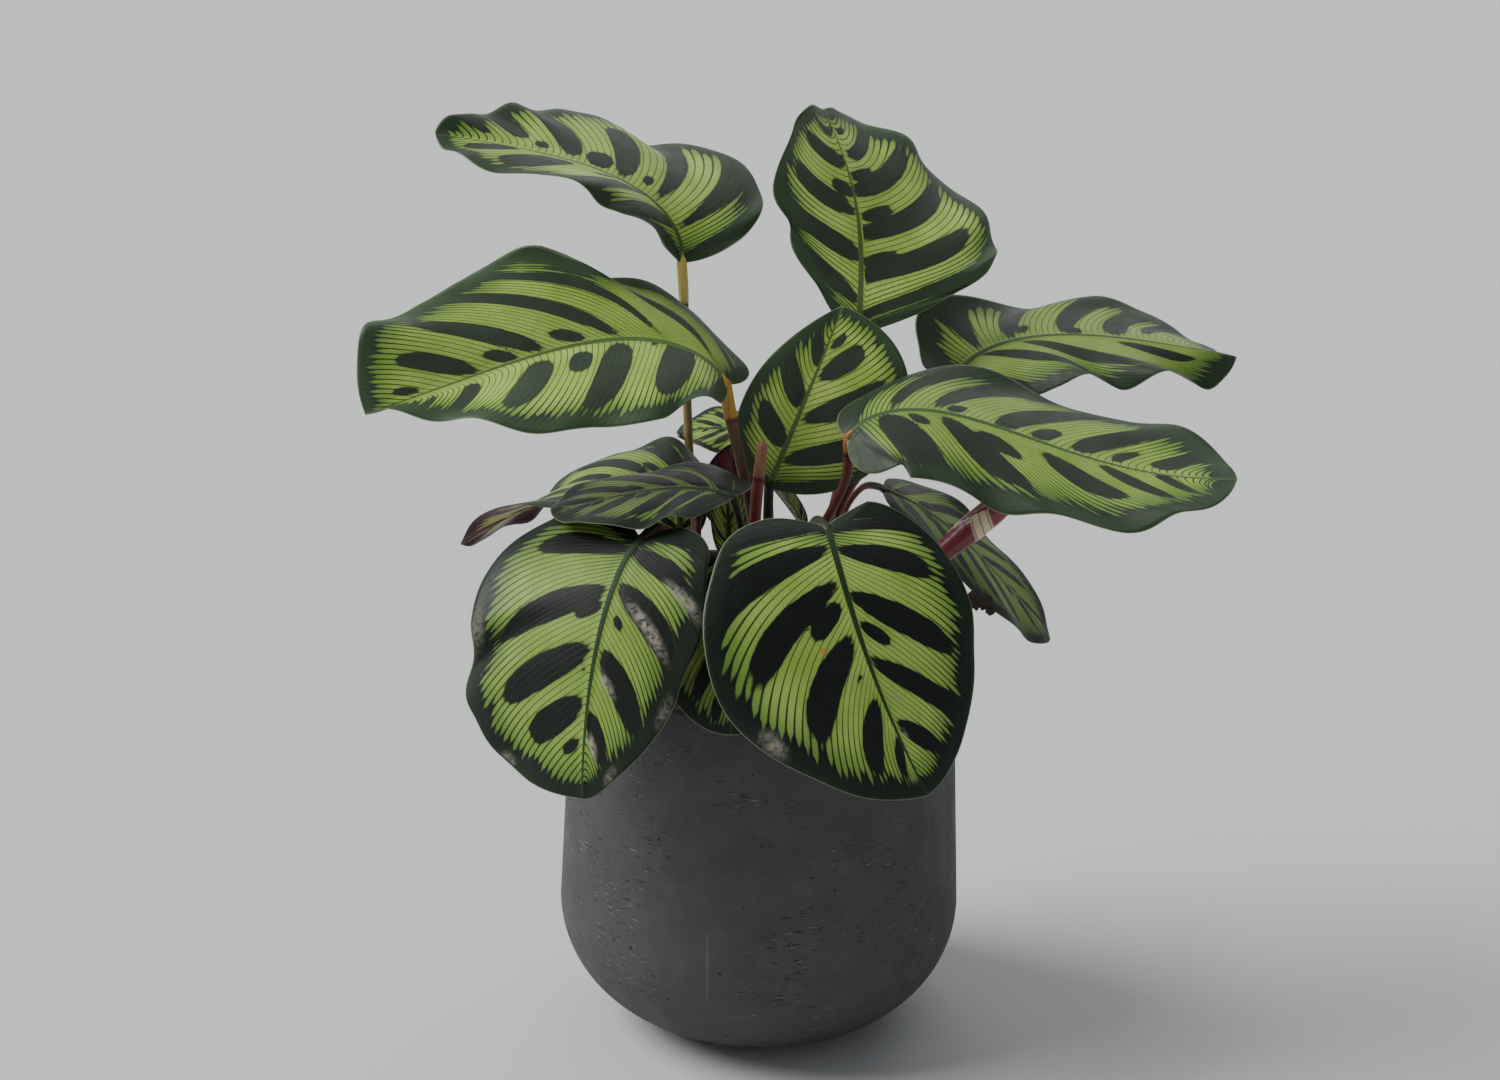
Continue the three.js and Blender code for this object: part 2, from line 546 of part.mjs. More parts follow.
// ---------------------------------------------------------------- the whole plant
const plant = new THREE.Group();
const roots = Object.values(leaves).map((leaf) => leaf.stalk);
roots.push(spear.stalk, cutStalk, driedLeaf.stalk);
plant.add(meshFromSolid('pot', potSolid(), potGrey));
plant.add(meshFromSolid('soil', soilSolid(roots), soilBrown));
for (const [name, leaf] of Object.entries(leaves)) {
  const young = name.startsWith('inner') || name.startsWith('rear');
  const blade = bladeSolid(leaf);
  const { forward, up } = frameAt(leaf, 0);
  const end = new THREE.Vector3(...leaf.base).addScaledVector(forward, 1.5).addScaledVector(up, -0.3);
  const room = bladeSolid(leaf, clearance).translate(forward.multiplyScalar(-clearance).toArray());
  const stalk = lowestPiece(stalkSolid(leaf.stalk, end.toArray()).subtract(room));
  plant.add(meshFromSolid(`leaf_${name}`, blade, young ? youngGreen : leafGreen));
  plant.add(meshFromSolid(`stalk_${name}`, stalk, stalkBrown));
}
plant.add(meshFromSolid('spear_new_leaf', spearSolid(), rolledMaroon));
plant.add(meshFromSolid('stalk_new_leaf', stalkSolid(spear.stalk, spear.foot), stalkBrown));
plant.add(meshFromSolid('stalk_cut', stalkSolid(cutStalk), stalkBrown));
plant.add(meshFromSolid('leaf_dried', driedLeafSolid(), dryBrown));
plant.add(meshFromSolid('stalk_dried', stalkSolid(driedLeaf.stalk), dryBrown));

export default plant;
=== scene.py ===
# A potted calathea: patterned blades on slender stalks, in a round fibre-clay pot of soil.
import math
import bmesh
import bpy
import numpy as np
from mathutils import Matrix, Vector


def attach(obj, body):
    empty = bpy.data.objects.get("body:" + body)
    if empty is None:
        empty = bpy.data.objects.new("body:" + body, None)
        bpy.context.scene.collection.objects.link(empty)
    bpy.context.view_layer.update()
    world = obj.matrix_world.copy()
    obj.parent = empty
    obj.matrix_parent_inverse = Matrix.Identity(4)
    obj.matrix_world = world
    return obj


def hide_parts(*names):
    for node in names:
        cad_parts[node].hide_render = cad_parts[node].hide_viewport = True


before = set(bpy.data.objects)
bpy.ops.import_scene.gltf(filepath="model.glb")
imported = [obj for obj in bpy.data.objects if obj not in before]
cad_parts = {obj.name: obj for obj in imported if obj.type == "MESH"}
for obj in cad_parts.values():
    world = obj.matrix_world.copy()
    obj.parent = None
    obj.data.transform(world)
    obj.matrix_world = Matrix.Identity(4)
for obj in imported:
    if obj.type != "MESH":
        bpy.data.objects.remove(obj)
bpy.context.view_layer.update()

mm = 0.001  # sizes below are in millimetres, as in the CAD


# camera, light and floor, in metres and degrees
stageSet = {
    "cameraPlace": (0, -0.929, 0.475), "lens": 50.0,  # the lens in mm on a 36 mm sensor
    "pitch": 14.7, "yaw": -0.44, "roll": 1.0, "sight": 4000,  # pitch looks down
    "floorRings": ((10, 0), (24, 1.5), (2000, 400)),  # half-width and height; it rises past the horizon
    "floorColour": "c6c8ca", "worldColour": "e6e9ec", "worldPower": 0.345,
    "key": {"from": (-1.6, 0.0, 1.5), "spread": 40, "power": 4.1, "colour": "fffefa"},
    "rim": {"from": (0.3, 1.6, 1.5), "spread": 60, "power": 0.8, "colour": "ffffff"},
}


def paint(code):  # an sRGB hex colour as linear RGBA
    parts = [int(code[k:k + 2], 16) / 255 for k in (0, 2, 4)]
    return tuple(c / 12.92 if c <= 0.04045 else ((c + 0.055) / 1.055) ** 2.4 for c in parts) + (1.0,)


def show(thing):
    bpy.context.collection.objects.link(thing)
    return thing


def makeStage():
    pitch, yaw, roll = (math.radians(stageSet[key]) for key in ("pitch", "yaw", "roll"))
    forward = Vector((math.sin(yaw) * math.cos(pitch), math.cos(yaw) * math.cos(pitch), -math.sin(pitch)))
    right = Vector((math.cos(yaw), -math.sin(yaw), 0))
    up = right.cross(forward)
    across = math.cos(roll) * right + math.sin(roll) * up
    upward = math.cos(roll) * up - math.sin(roll) * right
    camera = show(bpy.data.objects.new("camera", bpy.data.cameras.new("camera")))
    camera.data.lens, camera.data.clip_end = stageSet["lens"], stageSet["sight"]
    camera.matrix_world = (Matrix.Translation(stageSet["cameraPlace"])
                           @ Matrix((across, upward, -forward)).transposed().to_4x4())
    bpy.context.scene.camera = camera
    for name in ("key", "rim"):
        values = stageSet[name]
        lamp = show(bpy.data.objects.new(name + "Light", bpy.data.lights.new(name + "Light", "SUN")))
        lamp.data.angle, lamp.data.energy = math.radians(values["spread"]), values["power"]
        lamp.data.color = paint(values["colour"])[:3]
        lamp.location = values["from"]
        lamp.rotation_mode = "QUATERNION"
        lamp.rotation_quaternion = (-lamp.location).to_track_quat("-Z", "Y")
    world = bpy.data.worlds.new("softRoom")
    bpy.context.scene.world = world
    world.use_nodes = True
    sky = world.node_tree.nodes["Background"].inputs
    sky["Color"].default_value, sky["Strength"].default_value = paint(stageSet["worldColour"]), stageSet["worldPower"]
    rings = stageSet["floorRings"]
    corners = [(x * size, y * size, rise) for size, rise in rings for x, y in ((-1, -1), (1, -1), (1, 1), (-1, 1))]
    rising = [face[::-1] for face in ringFaces(len(rings), 4, capped=False)]
    floor = newPiece("floor", corners, [(0, 1, 2, 3)] + rising, smooth=False)
    material = newMaterial("paleFloor")[0]
    shader = material.node_tree.nodes["Principled BSDF"]
    shader.inputs["Base Color"].default_value = paint(stageSet["floorColour"])
    shader.inputs["Roughness"].default_value = 0.9
    floor.data.materials.append(material)


# meshes
def newPiece(name, points, faces, smooth=True):  # points are in metres here
    mesh = bpy.data.meshes.new(name)
    mesh.from_pydata([tuple(p) for p in points], [], [tuple(f) for f in faces])
    mesh.update()
    if smooth:
        mesh.polygons.foreach_set("use_smooth", [True] * len(mesh.polygons))
    return show(bpy.data.objects.new(name, mesh))


def ringFaces(rings, sides, capped=True):  # the ends' middle points follow the last ring's
    pairs = [(k, (k + 1) % sides) for k in range(sides)]
    last, ends = (rings - 1) * sides, rings * sides
    faces = [(i + k, i + m, i + sides + m, i + sides + k) for i in range(0, last, sides) for k, m in pairs]
    if capped:
        faces += [face for k, m in pairs for face in ((ends, m, k), (ends + 1, last + k, last + m))]
    return faces


def sheetFaces(rows, columns):  # a sheet's upper face, lower face and edge
    index = np.arange(rows * columns).reshape(rows, columns)
    upper = np.stack([index[:-1, :-1], index[1:, :-1], index[1:, 1:], index[:-1, 1:]], 2).reshape(-1, 4)
    ring = np.concatenate([index[0], index[1:, -1], index[-1, -2::-1], index[-2:0:-1, 0]])
    following = np.roll(ring, -1)
    edge = np.stack([ring, following, following + index.size, ring + index.size], 1)
    return upper, upper[:, ::-1] + index.size, edge


def addField(piece, name, values):  # one number for each point
    layer = piece.data.attributes.new(name, "FLOAT", "POINT")
    layer.data.foreach_set("value", np.asarray(values, dtype=np.float32))


def addMap(piece, name, u, v):  # a UV map from one u and v for each point
    layer = piece.data.uv_layers.new(name=name)
    corner = np.empty(len(piece.data.loops), dtype=np.int32)
    piece.data.loops.foreach_get("vertex_index", corner)
    layer.data.foreach_set("uv", np.stack([u[corner], v[corner]], 1).astype(np.float32).ravel())


def rework(piece, edit):  # edit works on the piece's mesh
    work = bmesh.new()
    work.from_mesh(piece.data)
    edit(work)
    work.to_mesh(piece.data)
    work.free()
    piece.data.update()


def weld(work):  # joins doubled points and drops empty faces
    bmesh.ops.remove_doubles(work, verts=work.verts, dist=1e-6)
    bmesh.ops.dissolve_degenerate(work, edges=work.edges, dist=1e-7)


def turnOutward(work):
    bmesh.ops.recalc_face_normals(work, faces=work.faces)
    if work.calc_volume(signed=True) < 0:
        bmesh.ops.reverse_faces(work, faces=work.faces)


def settle(piece, node, slot, *materials):  # every piece is finished by this
    for material in materials:
        piece.data.materials.append(material)
    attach(piece, "root")
    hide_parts(node)


def titled(first, name):  # leaf names in the pieces' way of writing
    return first + "".join(word.capitalize() for word in name.split("_"))


# nodes
class Value:  # a node's output that can be reckoned with
    def __init__(self, socket):
        self.socket, self.tree = socket, socket.id_data

    def __rsub__(self, other):
        return calc("SUBTRACT", other, self)


for sign, operation in (("add", "ADD"), ("sub", "SUBTRACT"), ("mul", "MULTIPLY"), ("truediv", "DIVIDE"),
                        ("abs", "ABSOLUTE")):
    setattr(Value, "__%s__" % sign, lambda *values, operation=operation: calc(operation, *values))


def join(value, socket):  # an output is linked, a plain value is set
    if isinstance(value, Value):
        value.tree.links.new(value.socket, socket)
    else:
        socket.default_value = value


def grow(tree, kind, inputs=(), output=0, **settings):  # a new node's output; inputs by name or in order
    node = tree.nodes.new(kind)
    for key, value in settings.items():
        setattr(node, key, value)
    for key, value in inputs.items() if isinstance(inputs, dict) else enumerate(inputs):
        join(value, node.inputs[key])
    return Value(node.outputs[output])


def calc(operation, *values):
    tree = next(value.tree for value in values if isinstance(value, Value))
    return grow(tree, "ShaderNodeMath", values, operation=operation)


def ease(value, low, high, start=0.0, end=1.0):  # a smooth step from start to end
    return grow(value.tree, "ShaderNodeMapRange", (value, low, high, start, end), interpolation_type="SMOOTHSTEP")


def mix(share, first, second):
    first, second = (paint(colour) if isinstance(colour, str) else colour for colour in (first, second))
    return grow(share.tree, "ShaderNodeMix", {0: share, 6: first, 7: second}, 2, data_type="RGBA")


def layered(colour, *layers):  # each layer's share and colour, laid on in turn
    for share, over in layers:
        colour = mix(share, colour, over)
    return colour


def readField(tree, name):
    return grow(tree, "ShaderNodeAttribute", (), "Fac", attribute_name=name)


def apart(vector):
    return [Value(part) for part in grow(vector.tree, "ShaderNodeSeparateXYZ", (vector,)).socket.node.outputs]


def place(tree):  # Object coordinates, in metres
    return grow(tree, "ShaderNodeTexCoord", (), "Object")


def stretch(vector, *scale):
    return grow(vector.tree, "ShaderNodeMapping", {"Vector": vector, "Scale": scale})


def joined(x, y, z=0.0):
    return grow(x.tree, "ShaderNodeCombineXYZ", (x, y, z))


def cloud(vector, scale, detail=3.0, rough=0.5):  # noise between 0 and 1
    return grow(vector.tree, "ShaderNodeTexNoise",
                {"Vector": vector, "Scale": scale, "Detail": detail, "Roughness": rough}, "Fac")


def relief(height, strength, distance):
    return grow(height.tree, "ShaderNodeBump", {"Strength": strength, "Distance": distance, "Height": height})


def newMaterial(name):  # with the place there
    material = bpy.data.materials.new(name)
    material.use_nodes = True
    return material, place(material.node_tree)


def finishMaterial(material, colour, roughness, normal, specular=0.5):
    shader = material.node_tree.nodes["Principled BSDF"]
    for name, value in (("Base Color", colour), ("Roughness", roughness), ("Normal", normal),
                        ("Specular IOR Level", specular)):
        join(value, shader.inputs[name])
    return material


# the leaf's pattern, one group for both faces; lengths in mm
patternSet = {
    "edgeSoft": 0.4, "comb": 0.35, "wander": 0.6, "wanderScale": 260.0,  # at the edge of a dark patch
    "fingers": 2.0, "uneven": 10.0, "corner": 4.0, "bandSoft": 0.55,  # how the pale bands end
    "veinFrom": 0.79, "veinTo": 0.95, "veinGrow": 0.15, "growFrom": -16.0,  # the side veins' dark lines
    "ladderStep": 0.95, "ladderJitter": 3.0,  # between the fine lines across
    "ribWide": 1.5, "ribNarrow": 0.45, "ribSoft": 0.3, "rimWide": 0.34, "rimSoft": 0.12,
}
leafPaint = {  # pairs are mixed by a cloud or by the painted light and shade of each leaf (one level for the pale bands, one for the dark parts), darker end first; fours are two such pairs, mixed by a cloud
    "lime": ("3f601a", "c6e574", "385616", "add25b"), "shaded": ("2c4a1b", "6e9242"),
    "ladder": "466a22", "vein": "1d3413", "stain": ("b3afa6", "8f8175"), "spot": "b8703a", "rim": "8f9673",
    "dark": ("0a100c", "2f3b2e", "131b15", "435141"), "darkVein": "0b100d",
    "margin": ("131f16", "34492f", "1c2b1e", "46603f"), "rib": ("20381c", "5a7440"),
    "under": ("8a4653", "75404b"), "underGreen": "b8b862", "underDark": ("421d28", "552733"),
    "underVein": "46202c", "underRib": "7a5148",
}


def zigzag(value):  # 1 at whole numbers, 0 half-way between
    return abs(calc("FRACT", value) * 2.0 - 1.0)


def makePatternGroup():
    group = bpy.data.node_groups.new("leafPattern", "ShaderNodeTree")
    names = ("dark", "fineVein", "ladder", "rib", "rim", "margin")
    for name in names:
        group.interface.new_socket(name=name, in_out="OUTPUT", socket_type="NodeSocketFloat")
    given = patternSet
    fields = ("bandField", "darkField", "leafShare", "ribDistance", "rimDistance")
    bandField, darkField, leafShare, fromRib, fromRim = (readField(group, field) for field in fields)
    lines, alongVein = apart(grow(group, "ShaderNodeUVMap", uv_map="veins"))[:2]
    line, cell = zigzag(lines), calc("FLOOR", lines)
    grown = ease(bandField, given["growFrom"], 0.0, 0.0, given["veinGrow"])
    fineVein = ease(line + grown, given["veinFrom"], given["veinTo"])
    jitter = cloud(joined(cell * 7.31, alongVein), 0.35, 1.0)
    ladder = ease(zigzag(alongVein / given["ladderStep"] + jitter * given["ladderJitter"]), 0.6, 1.0)
    wander = (cloud(place(group), given["wanderScale"]) - 0.5) * (2 * given["wander"])
    comb = wander + (line - 0.45) * given["comb"]
    strip = cloud(joined(cell * 3.73, 2.6), 1.0, 1.0)
    finger = (line - 0.5) * given["fingers"] + (strip - 0.5) * given["uneven"]
    band = (bandField + finger + comb * 2.5) * given["bandSoft"]
    dark = ease(calc("SMOOTH_MAX", darkField + comb, band, given["corner"]), -given["edgeSoft"], given["edgeSoft"])
    ribHalf = ease(leafShare, 0.0, 1.0, given["ribWide"], given["ribNarrow"])
    rib = 1.0 - ease(fromRib - ribHalf, -given["ribSoft"], given["ribSoft"])
    rim = ease(fromRim, given["rimWide"] + given["rimSoft"], given["rimWide"] - given["rimSoft"])
    result = group.nodes.new("NodeGroupOutput")
    for name, value in zip(names, (dark, fineVein, ladder, rib, rim, ease(bandField, -1.0, 5.0))):
        join(value, result.inputs[name])
    return group


def usePattern(tree, group):
    node = tree.nodes.new("ShaderNodeGroup")
    node.node_tree = group
    return {socket.name: Value(socket) for socket in node.outputs}


def leafTopMaterial(group):
    material, where = newMaterial("patternedLeafTop")
    mask = usePattern(where.tree, group)
    # two of the fields read here are painted light and shade: how lit the pale bands and the dark parts of this leaf
    # look
    fields = ("paintedBandLight", "tone", "bandField", "darkField", "orangeSpot", "stain")
    paintedLight, tone, bandField, darkField, spot, stain = (readField(where.tree, field) for field in fields)

    def mottled(amount, share, key):
        first, second, third, fourth = leafPaint[key]
        return mix(share, mix(amount, first, second), mix(amount, third, fourth))
    shaded = mix(paintedLight, *leafPaint["shaded"])  # the bands turn greener toward their edges
    lime = layered(mottled(paintedLight, ease(cloud(where, 45.0), 0.35, 0.7), "lime"),
                   (ease(bandField, -8.0, 2.0, 0.0, 0.8), shaded), (ease(darkField, -2.2, 0.4, 0.0, 0.3), shaded),
                   (mask["ladder"] * 0.42, leafPaint["ladder"]), (mask["fineVein"] * 0.95, leafPaint["vein"]))
    deep = layered(mottled(tone, cloud(where, 60.0, 4.0), "dark"),
                   (mask["fineVein"] * 0.25, leafPaint["darkVein"]),
                   (mask["margin"] * 0.8, mottled(tone, cloud(where, 40.0), "margin")))
    stain = stain * ease(cloud(where, 420.0, 5.0, 0.7), 0.3, 0.62)
    colour = layered(lime, (mask["dark"], deep), (mask["rib"], mix(tone, *leafPaint["rib"])),
                     (stain, mix(cloud(where, 90.0, 2.0), *leafPaint["stain"])), (spot, leafPaint["spot"]),
                     (mask["rim"] * 0.55, leafPaint["rim"]))
    gloss = ease(cloud(where, 120.0), 0.2, 0.8, 0.42, 0.55) + stain * 0.3
    height = cloud(where, 900.0, 2.0) * 0.35 - (mask["fineVein"] * 0.6 + mask["ladder"] * 0.2)
    return finishMaterial(material, colour, gloss, relief(height, 0.35, 0.00025), 0.22)


def leafUnderMaterial(group):
    material, where = newMaterial("maroonLeafUnderside")
    mask = usePattern(where.tree, group)
    colour = layered(mix(cloud(where, 50.0), *leafPaint["under"]),
                     (readField(where.tree, "greenBack"), leafPaint["underGreen"]),
                     (mask["dark"], mix(cloud(where, 70.0), *leafPaint["underDark"])),
                     (mask["fineVein"] * 0.4, leafPaint["underVein"]), (mask["rib"], leafPaint["underRib"]))
    height = mask["fineVein"] * 0.6 + cloud(where, 900.0, 2.0) * 0.3
    return finishMaterial(material, colour, 0.5, relief(height, 0.3, 0.00025))


# leaves, with the CAD's own values; pairs are left and right, triples base, middle and tip, and one number
# stands for all of them
usualShape = {"lobe": 0.05, "point": 0.75, "roll": 0, "sway": 0, "fold": 0, "curl": 0, "edge": 0, "raise": 0,
              "wave": ((0, 2, 0), (0, 2, 0))}  # wave: height in mm, number and phase
leafShapes = {
    "upper_left": {"base": (-41, 34, 354), "length": 138, "width": (42, 66), "lobe": (-0.04, 0.0),
        "point": (0.6, 1.0), "heading": (120, 172, 184), "pitch": (85, 28, 8), "roll": (-22, -12, -10),
        "fold": ((50, 12, 8), (12, 15, 10)), "curl": -20, "wave": ((3, 3.5, 0.55), (3, 6, 0.1)),
        "edge": ((0, 4, 6, 4, 2, -4, 1, 0, -1), (-2, -1, 3, 0, 0, 0, 0, 0, 3)),
        "raise": ((0, 0, -3, -3, 0, 3, -4, -3.5, -3), (0, 0, 4, -4, -1, 6, 5, 7, 4)),
        "stalk": (2.1, ((-30, 20, 200), (-36, 28, 257), (-38, 32, 290), (-40, 34, 337)))},
    "left": {"base": (-18, -8, 305), "length": 173, "width": (46, 51), "lobe": (0.08, -0.02), "point": (0.7, 0.4),
        "heading": (170, 198, 200), "pitch": (60, -2, -16), "roll": (-10, -26, -16), "fold": (0, (5, 40, 40)),
        "curl": (-10, (-20, -30, -20)), "wave": ((3, 4, 0.67), (4.5, 4.6, 0.3)),
        "edge": ((0, -2, 3, 7, 3, 6, -3, -4, -3), (9, 1, 0, -7, 4, -4, -3, 1, 0)),
        "raise": ((0, 2, -2, -5, 0, 0, 1, 2, 3), (5, -7, 0, -6, 4, -4, -4, 9, 4)),
        "stalk": (2.6, ((-6, -8, 200), (-6, -9, 240), (-10, -9, 262), (-17, -9, 292)))},
    "top": {"base": (42, 48, 320), "length": 112, "width": (43, 75), "lobe": (-0.09, -0.1), "point": (0.4, 0.6),
        "heading": (85, 96, 155), "pitch": (75, 68, 60), "fold": ((12, 10, 10), (-8, -8, -5)), "curl": -10,
        "wave": ((2.5, 4, 0.5), (3, 5.5, 0.17)),
        "edge": ((0, -3, -4, -5, -5, 5, 8, 8, 4.5), (0, -1, 0, -1, 3, 0, 1, 3, 3)),
        "raise": (0, (0, 0, 0, 0, 4, 3, 10, 4, 0)),
        "stalk": (2.1, ((22, 6, 195), (29, 13, 235), (33, 23, 250), (40, 44, 300)))},
    "right_rear": {"base": (89, 60, 298), "length": 142, "width": (46, 44), "lobe": 0.08, "point": (0.6, 0.7),
        "heading": (42, -4, -10), "pitch": (50, 8, -8), "roll": (18, 14, 12), "fold": ((5, 5, 0), (-5, -8, -8)),
        "curl": ((-5, -5, -15), -20), "wave": ((4.5, 2.7, 0.63), (3.5, 4.8, 0.79)),
        "edge": ((-3, -4, 3.5, 0, 0, 0, 0, 0, -5), (0, 0, 0, -4, -6, -3, 0, 0, 0)),
        "raise": ((0, 0, 11, -4, 3, -7, -3, -3.5, -3), (0, 0, 0, 0, 4, 1, 6, -8, -9)),
        "stalk": (1.7, ((28, 18, 200), (35, 20.7, 242), (44.4, 31.6, 256), (77, 52, 287)))},
    "right": {"base": (35, -22, 285), "length": 180, "width": (50, 47), "lobe": (-0.02, 0.09), "point": (0.7, 0.48),
        "heading": (30, -14, -22), "pitch": (50, -12, 8), "roll": (10, 22, 20), "fold": ((0, -5, -5), -5),
        "curl": -15, "wave": ((4, 2.6, 0.37), (2.5, 5, 0.2)),
        "edge": ((0, 0, 0, 0, 0, 0, 0, 2, 0), (4, 6, 5, -2, -4, -8, -3, -5, -1)),
        "raise": ((0, 0, 0, 3, 1, 4, 7, 5, 4), 0),
        "stalk": (2.1, ((14, -8, 195), (24, -12, 237), (31, -12, 252), (36, -14, 266)))},
    "centre": {"base": (1, 14, 253), "length": 92, "width": (28, 48), "lobe": 0, "point": (0.9, 0.45),
        "heading": (88, 84, 84), "pitch": (75, 74, 70), "roll": 8, "sway": (-20, -20, -18), "fold": (20, 0),
        "curl": -10, "wave": ((1, 3, 0), (1, 3, 0)), "stalk": (2, ((4, 4, 190), (1, 11, 230), (1, 13.5, 246)))},
    "front_left": {"base": (-53, -75, 251), "length": 116, "width": (40, 68), "lobe": (0.12, 0.17),
        "point": (0.75, 0.42), "heading": (-115, -108, -115), "pitch": (-30, -60, -80), "sway": (-10, -4.5, 5),
        "curl": -15, "wave": ((1, 3, 0), (3, 4, 0.4)),
        "edge": ((6, 6, 2, 3, 0, 2, 2, 1, 1), (0, 0, 3, 1, -10, -3, -6, -4, -2)),
        "stalk": (2, ((-20, -24, 195), (-34, -42, 236), (-46, -60, 252)))},
    "front_right": {"base": (25.5, -75, 258), "length": 125, "width": (56, 62), "lobe": (0.18, 0.06),
        "point": (0.45, 0.7), "heading": -72, "pitch": (-22, -58, -68), "sway": (-5, 8, 24), "curl": (-12, -8),
        "wave": ((1, 3, 0), (1, 3, 0)),
        "edge": ((0, -1, 4, 1.5, -2.5, -7, -9, -8.5, -4.5), (4, 2, 0, 3, 4, 1, -1.5, -0.5, -0.5)),
        "raise": ((4, 4, 0, 0, 0, 0, 0, 0, 0), 0), "stalk": (2, ((10, -26, 195), (16, -42, 236), (21.5, -60, 256)))},
    "low_left_rear": {"base": (-32, -8, 260), "length": 114, "width": (32, 36), "lobe": 0.03,
        "heading": (170, 182, 196), "pitch": (12, -10, -32), "roll": (-20, -10, 50), "fold": (0, (5, 10, 10)),
        "curl": (-10, -20), "wave": ((2, 3, 0), (3, 4, 0.2)),
        "stalk": (1.6, ((-32, -4, 195), (-31, -6, 235), (-31.5, -7.5, 256)))},
    "low_left": {"base": (-14, -48, 263), "length": 82, "width": 34, "lobe": 0.06, "point": 0.5,
        "heading": (150, 184, 196), "pitch": (15, -3, -16), "roll": (-5, -6, 0), "fold": (0, 10), "curl": (-10, -25),
        "wave": ((2, 3, 0), (2, 3, 0.2)), "stalk": (1.6, ((-9, -28, 195), (-9, -38, 235), (-13, -46.5, 258)))},
    "front_middle": {"base": (-17, -52, 240), "length": 88, "width": 32, "point": 0.5, "heading": -85,
        "pitch": (-5, -50, -80), "curl": -15, "wave": ((1, 2, 0), (1, 2, 0)),
        "stalk": (1.6, ((-4, -36, 195), (-12, -43, 228), (-16, -49, 239)))},
    "low_right": {"base": (57, 55, 244), "length": 122, "width": (32, 31), "lobe": 0.03, "point": 0.6,
        "heading": (0, 15, 10), "pitch": (-20, -40, -52), "roll": (0, 12, 20), "fold": (10, -10), "curl": (0, -10),
        "wave": ((2, 3, 0), (2, 3, 0.3)),
        "stalk": (1.6, ((34, 30, 200), (37, 29, 238), (46, 40, 248), (54, 50, 246)))},
    "rear_small": {"base": (-6, 70, 264), "length": 40, "width": 18, "heading": (170, 175, 180),
        "pitch": (40, 5, -10), "roll": (-10, -20, -20), "fold": (0, 10), "curl": -15,
        "wave": ((1, 2, 0), (1, 2, 0.2)), "stalk": (1.4, ((2, 46, 200), (2, 60, 235), (-3, 69, 259)))},
    "inner_left": {"base": (-41, 37, 222), "length": 52, "width": 15, "heading": 100, "pitch": (80, 60, 30),
        "curl": -20, "stalk": (1.4, ((-41, 33, 190), (-41, 36, 208)))},
    "inner_rear": {"base": (-17, 62, 222), "length": 46, "width": 15, "heading": -90, "pitch": (88, 80, 60),
        "curl": -10, "stalk": (1.4, ((-20, 46, 190), (-18, 58, 208)))},
    "inner_young": {"base": (-17, 8, 222), "length": 40, "width": 9, "heading": 100, "pitch": (80, 75, 60),
        "fold": ((25, 15, 0), (25, 15, 0)), "stalk": (1.4, ((-17, 10, 190), (-17, 8, 208)))},
    "inner_low": {"base": (18, 27, 232), "length": 36, "width": 9, "heading": 160, "pitch": (55, 50, 30), "fold": 10,
        "stalk": (1.4, ((16, 25, 190), (17, 26.5, 218)))},
}
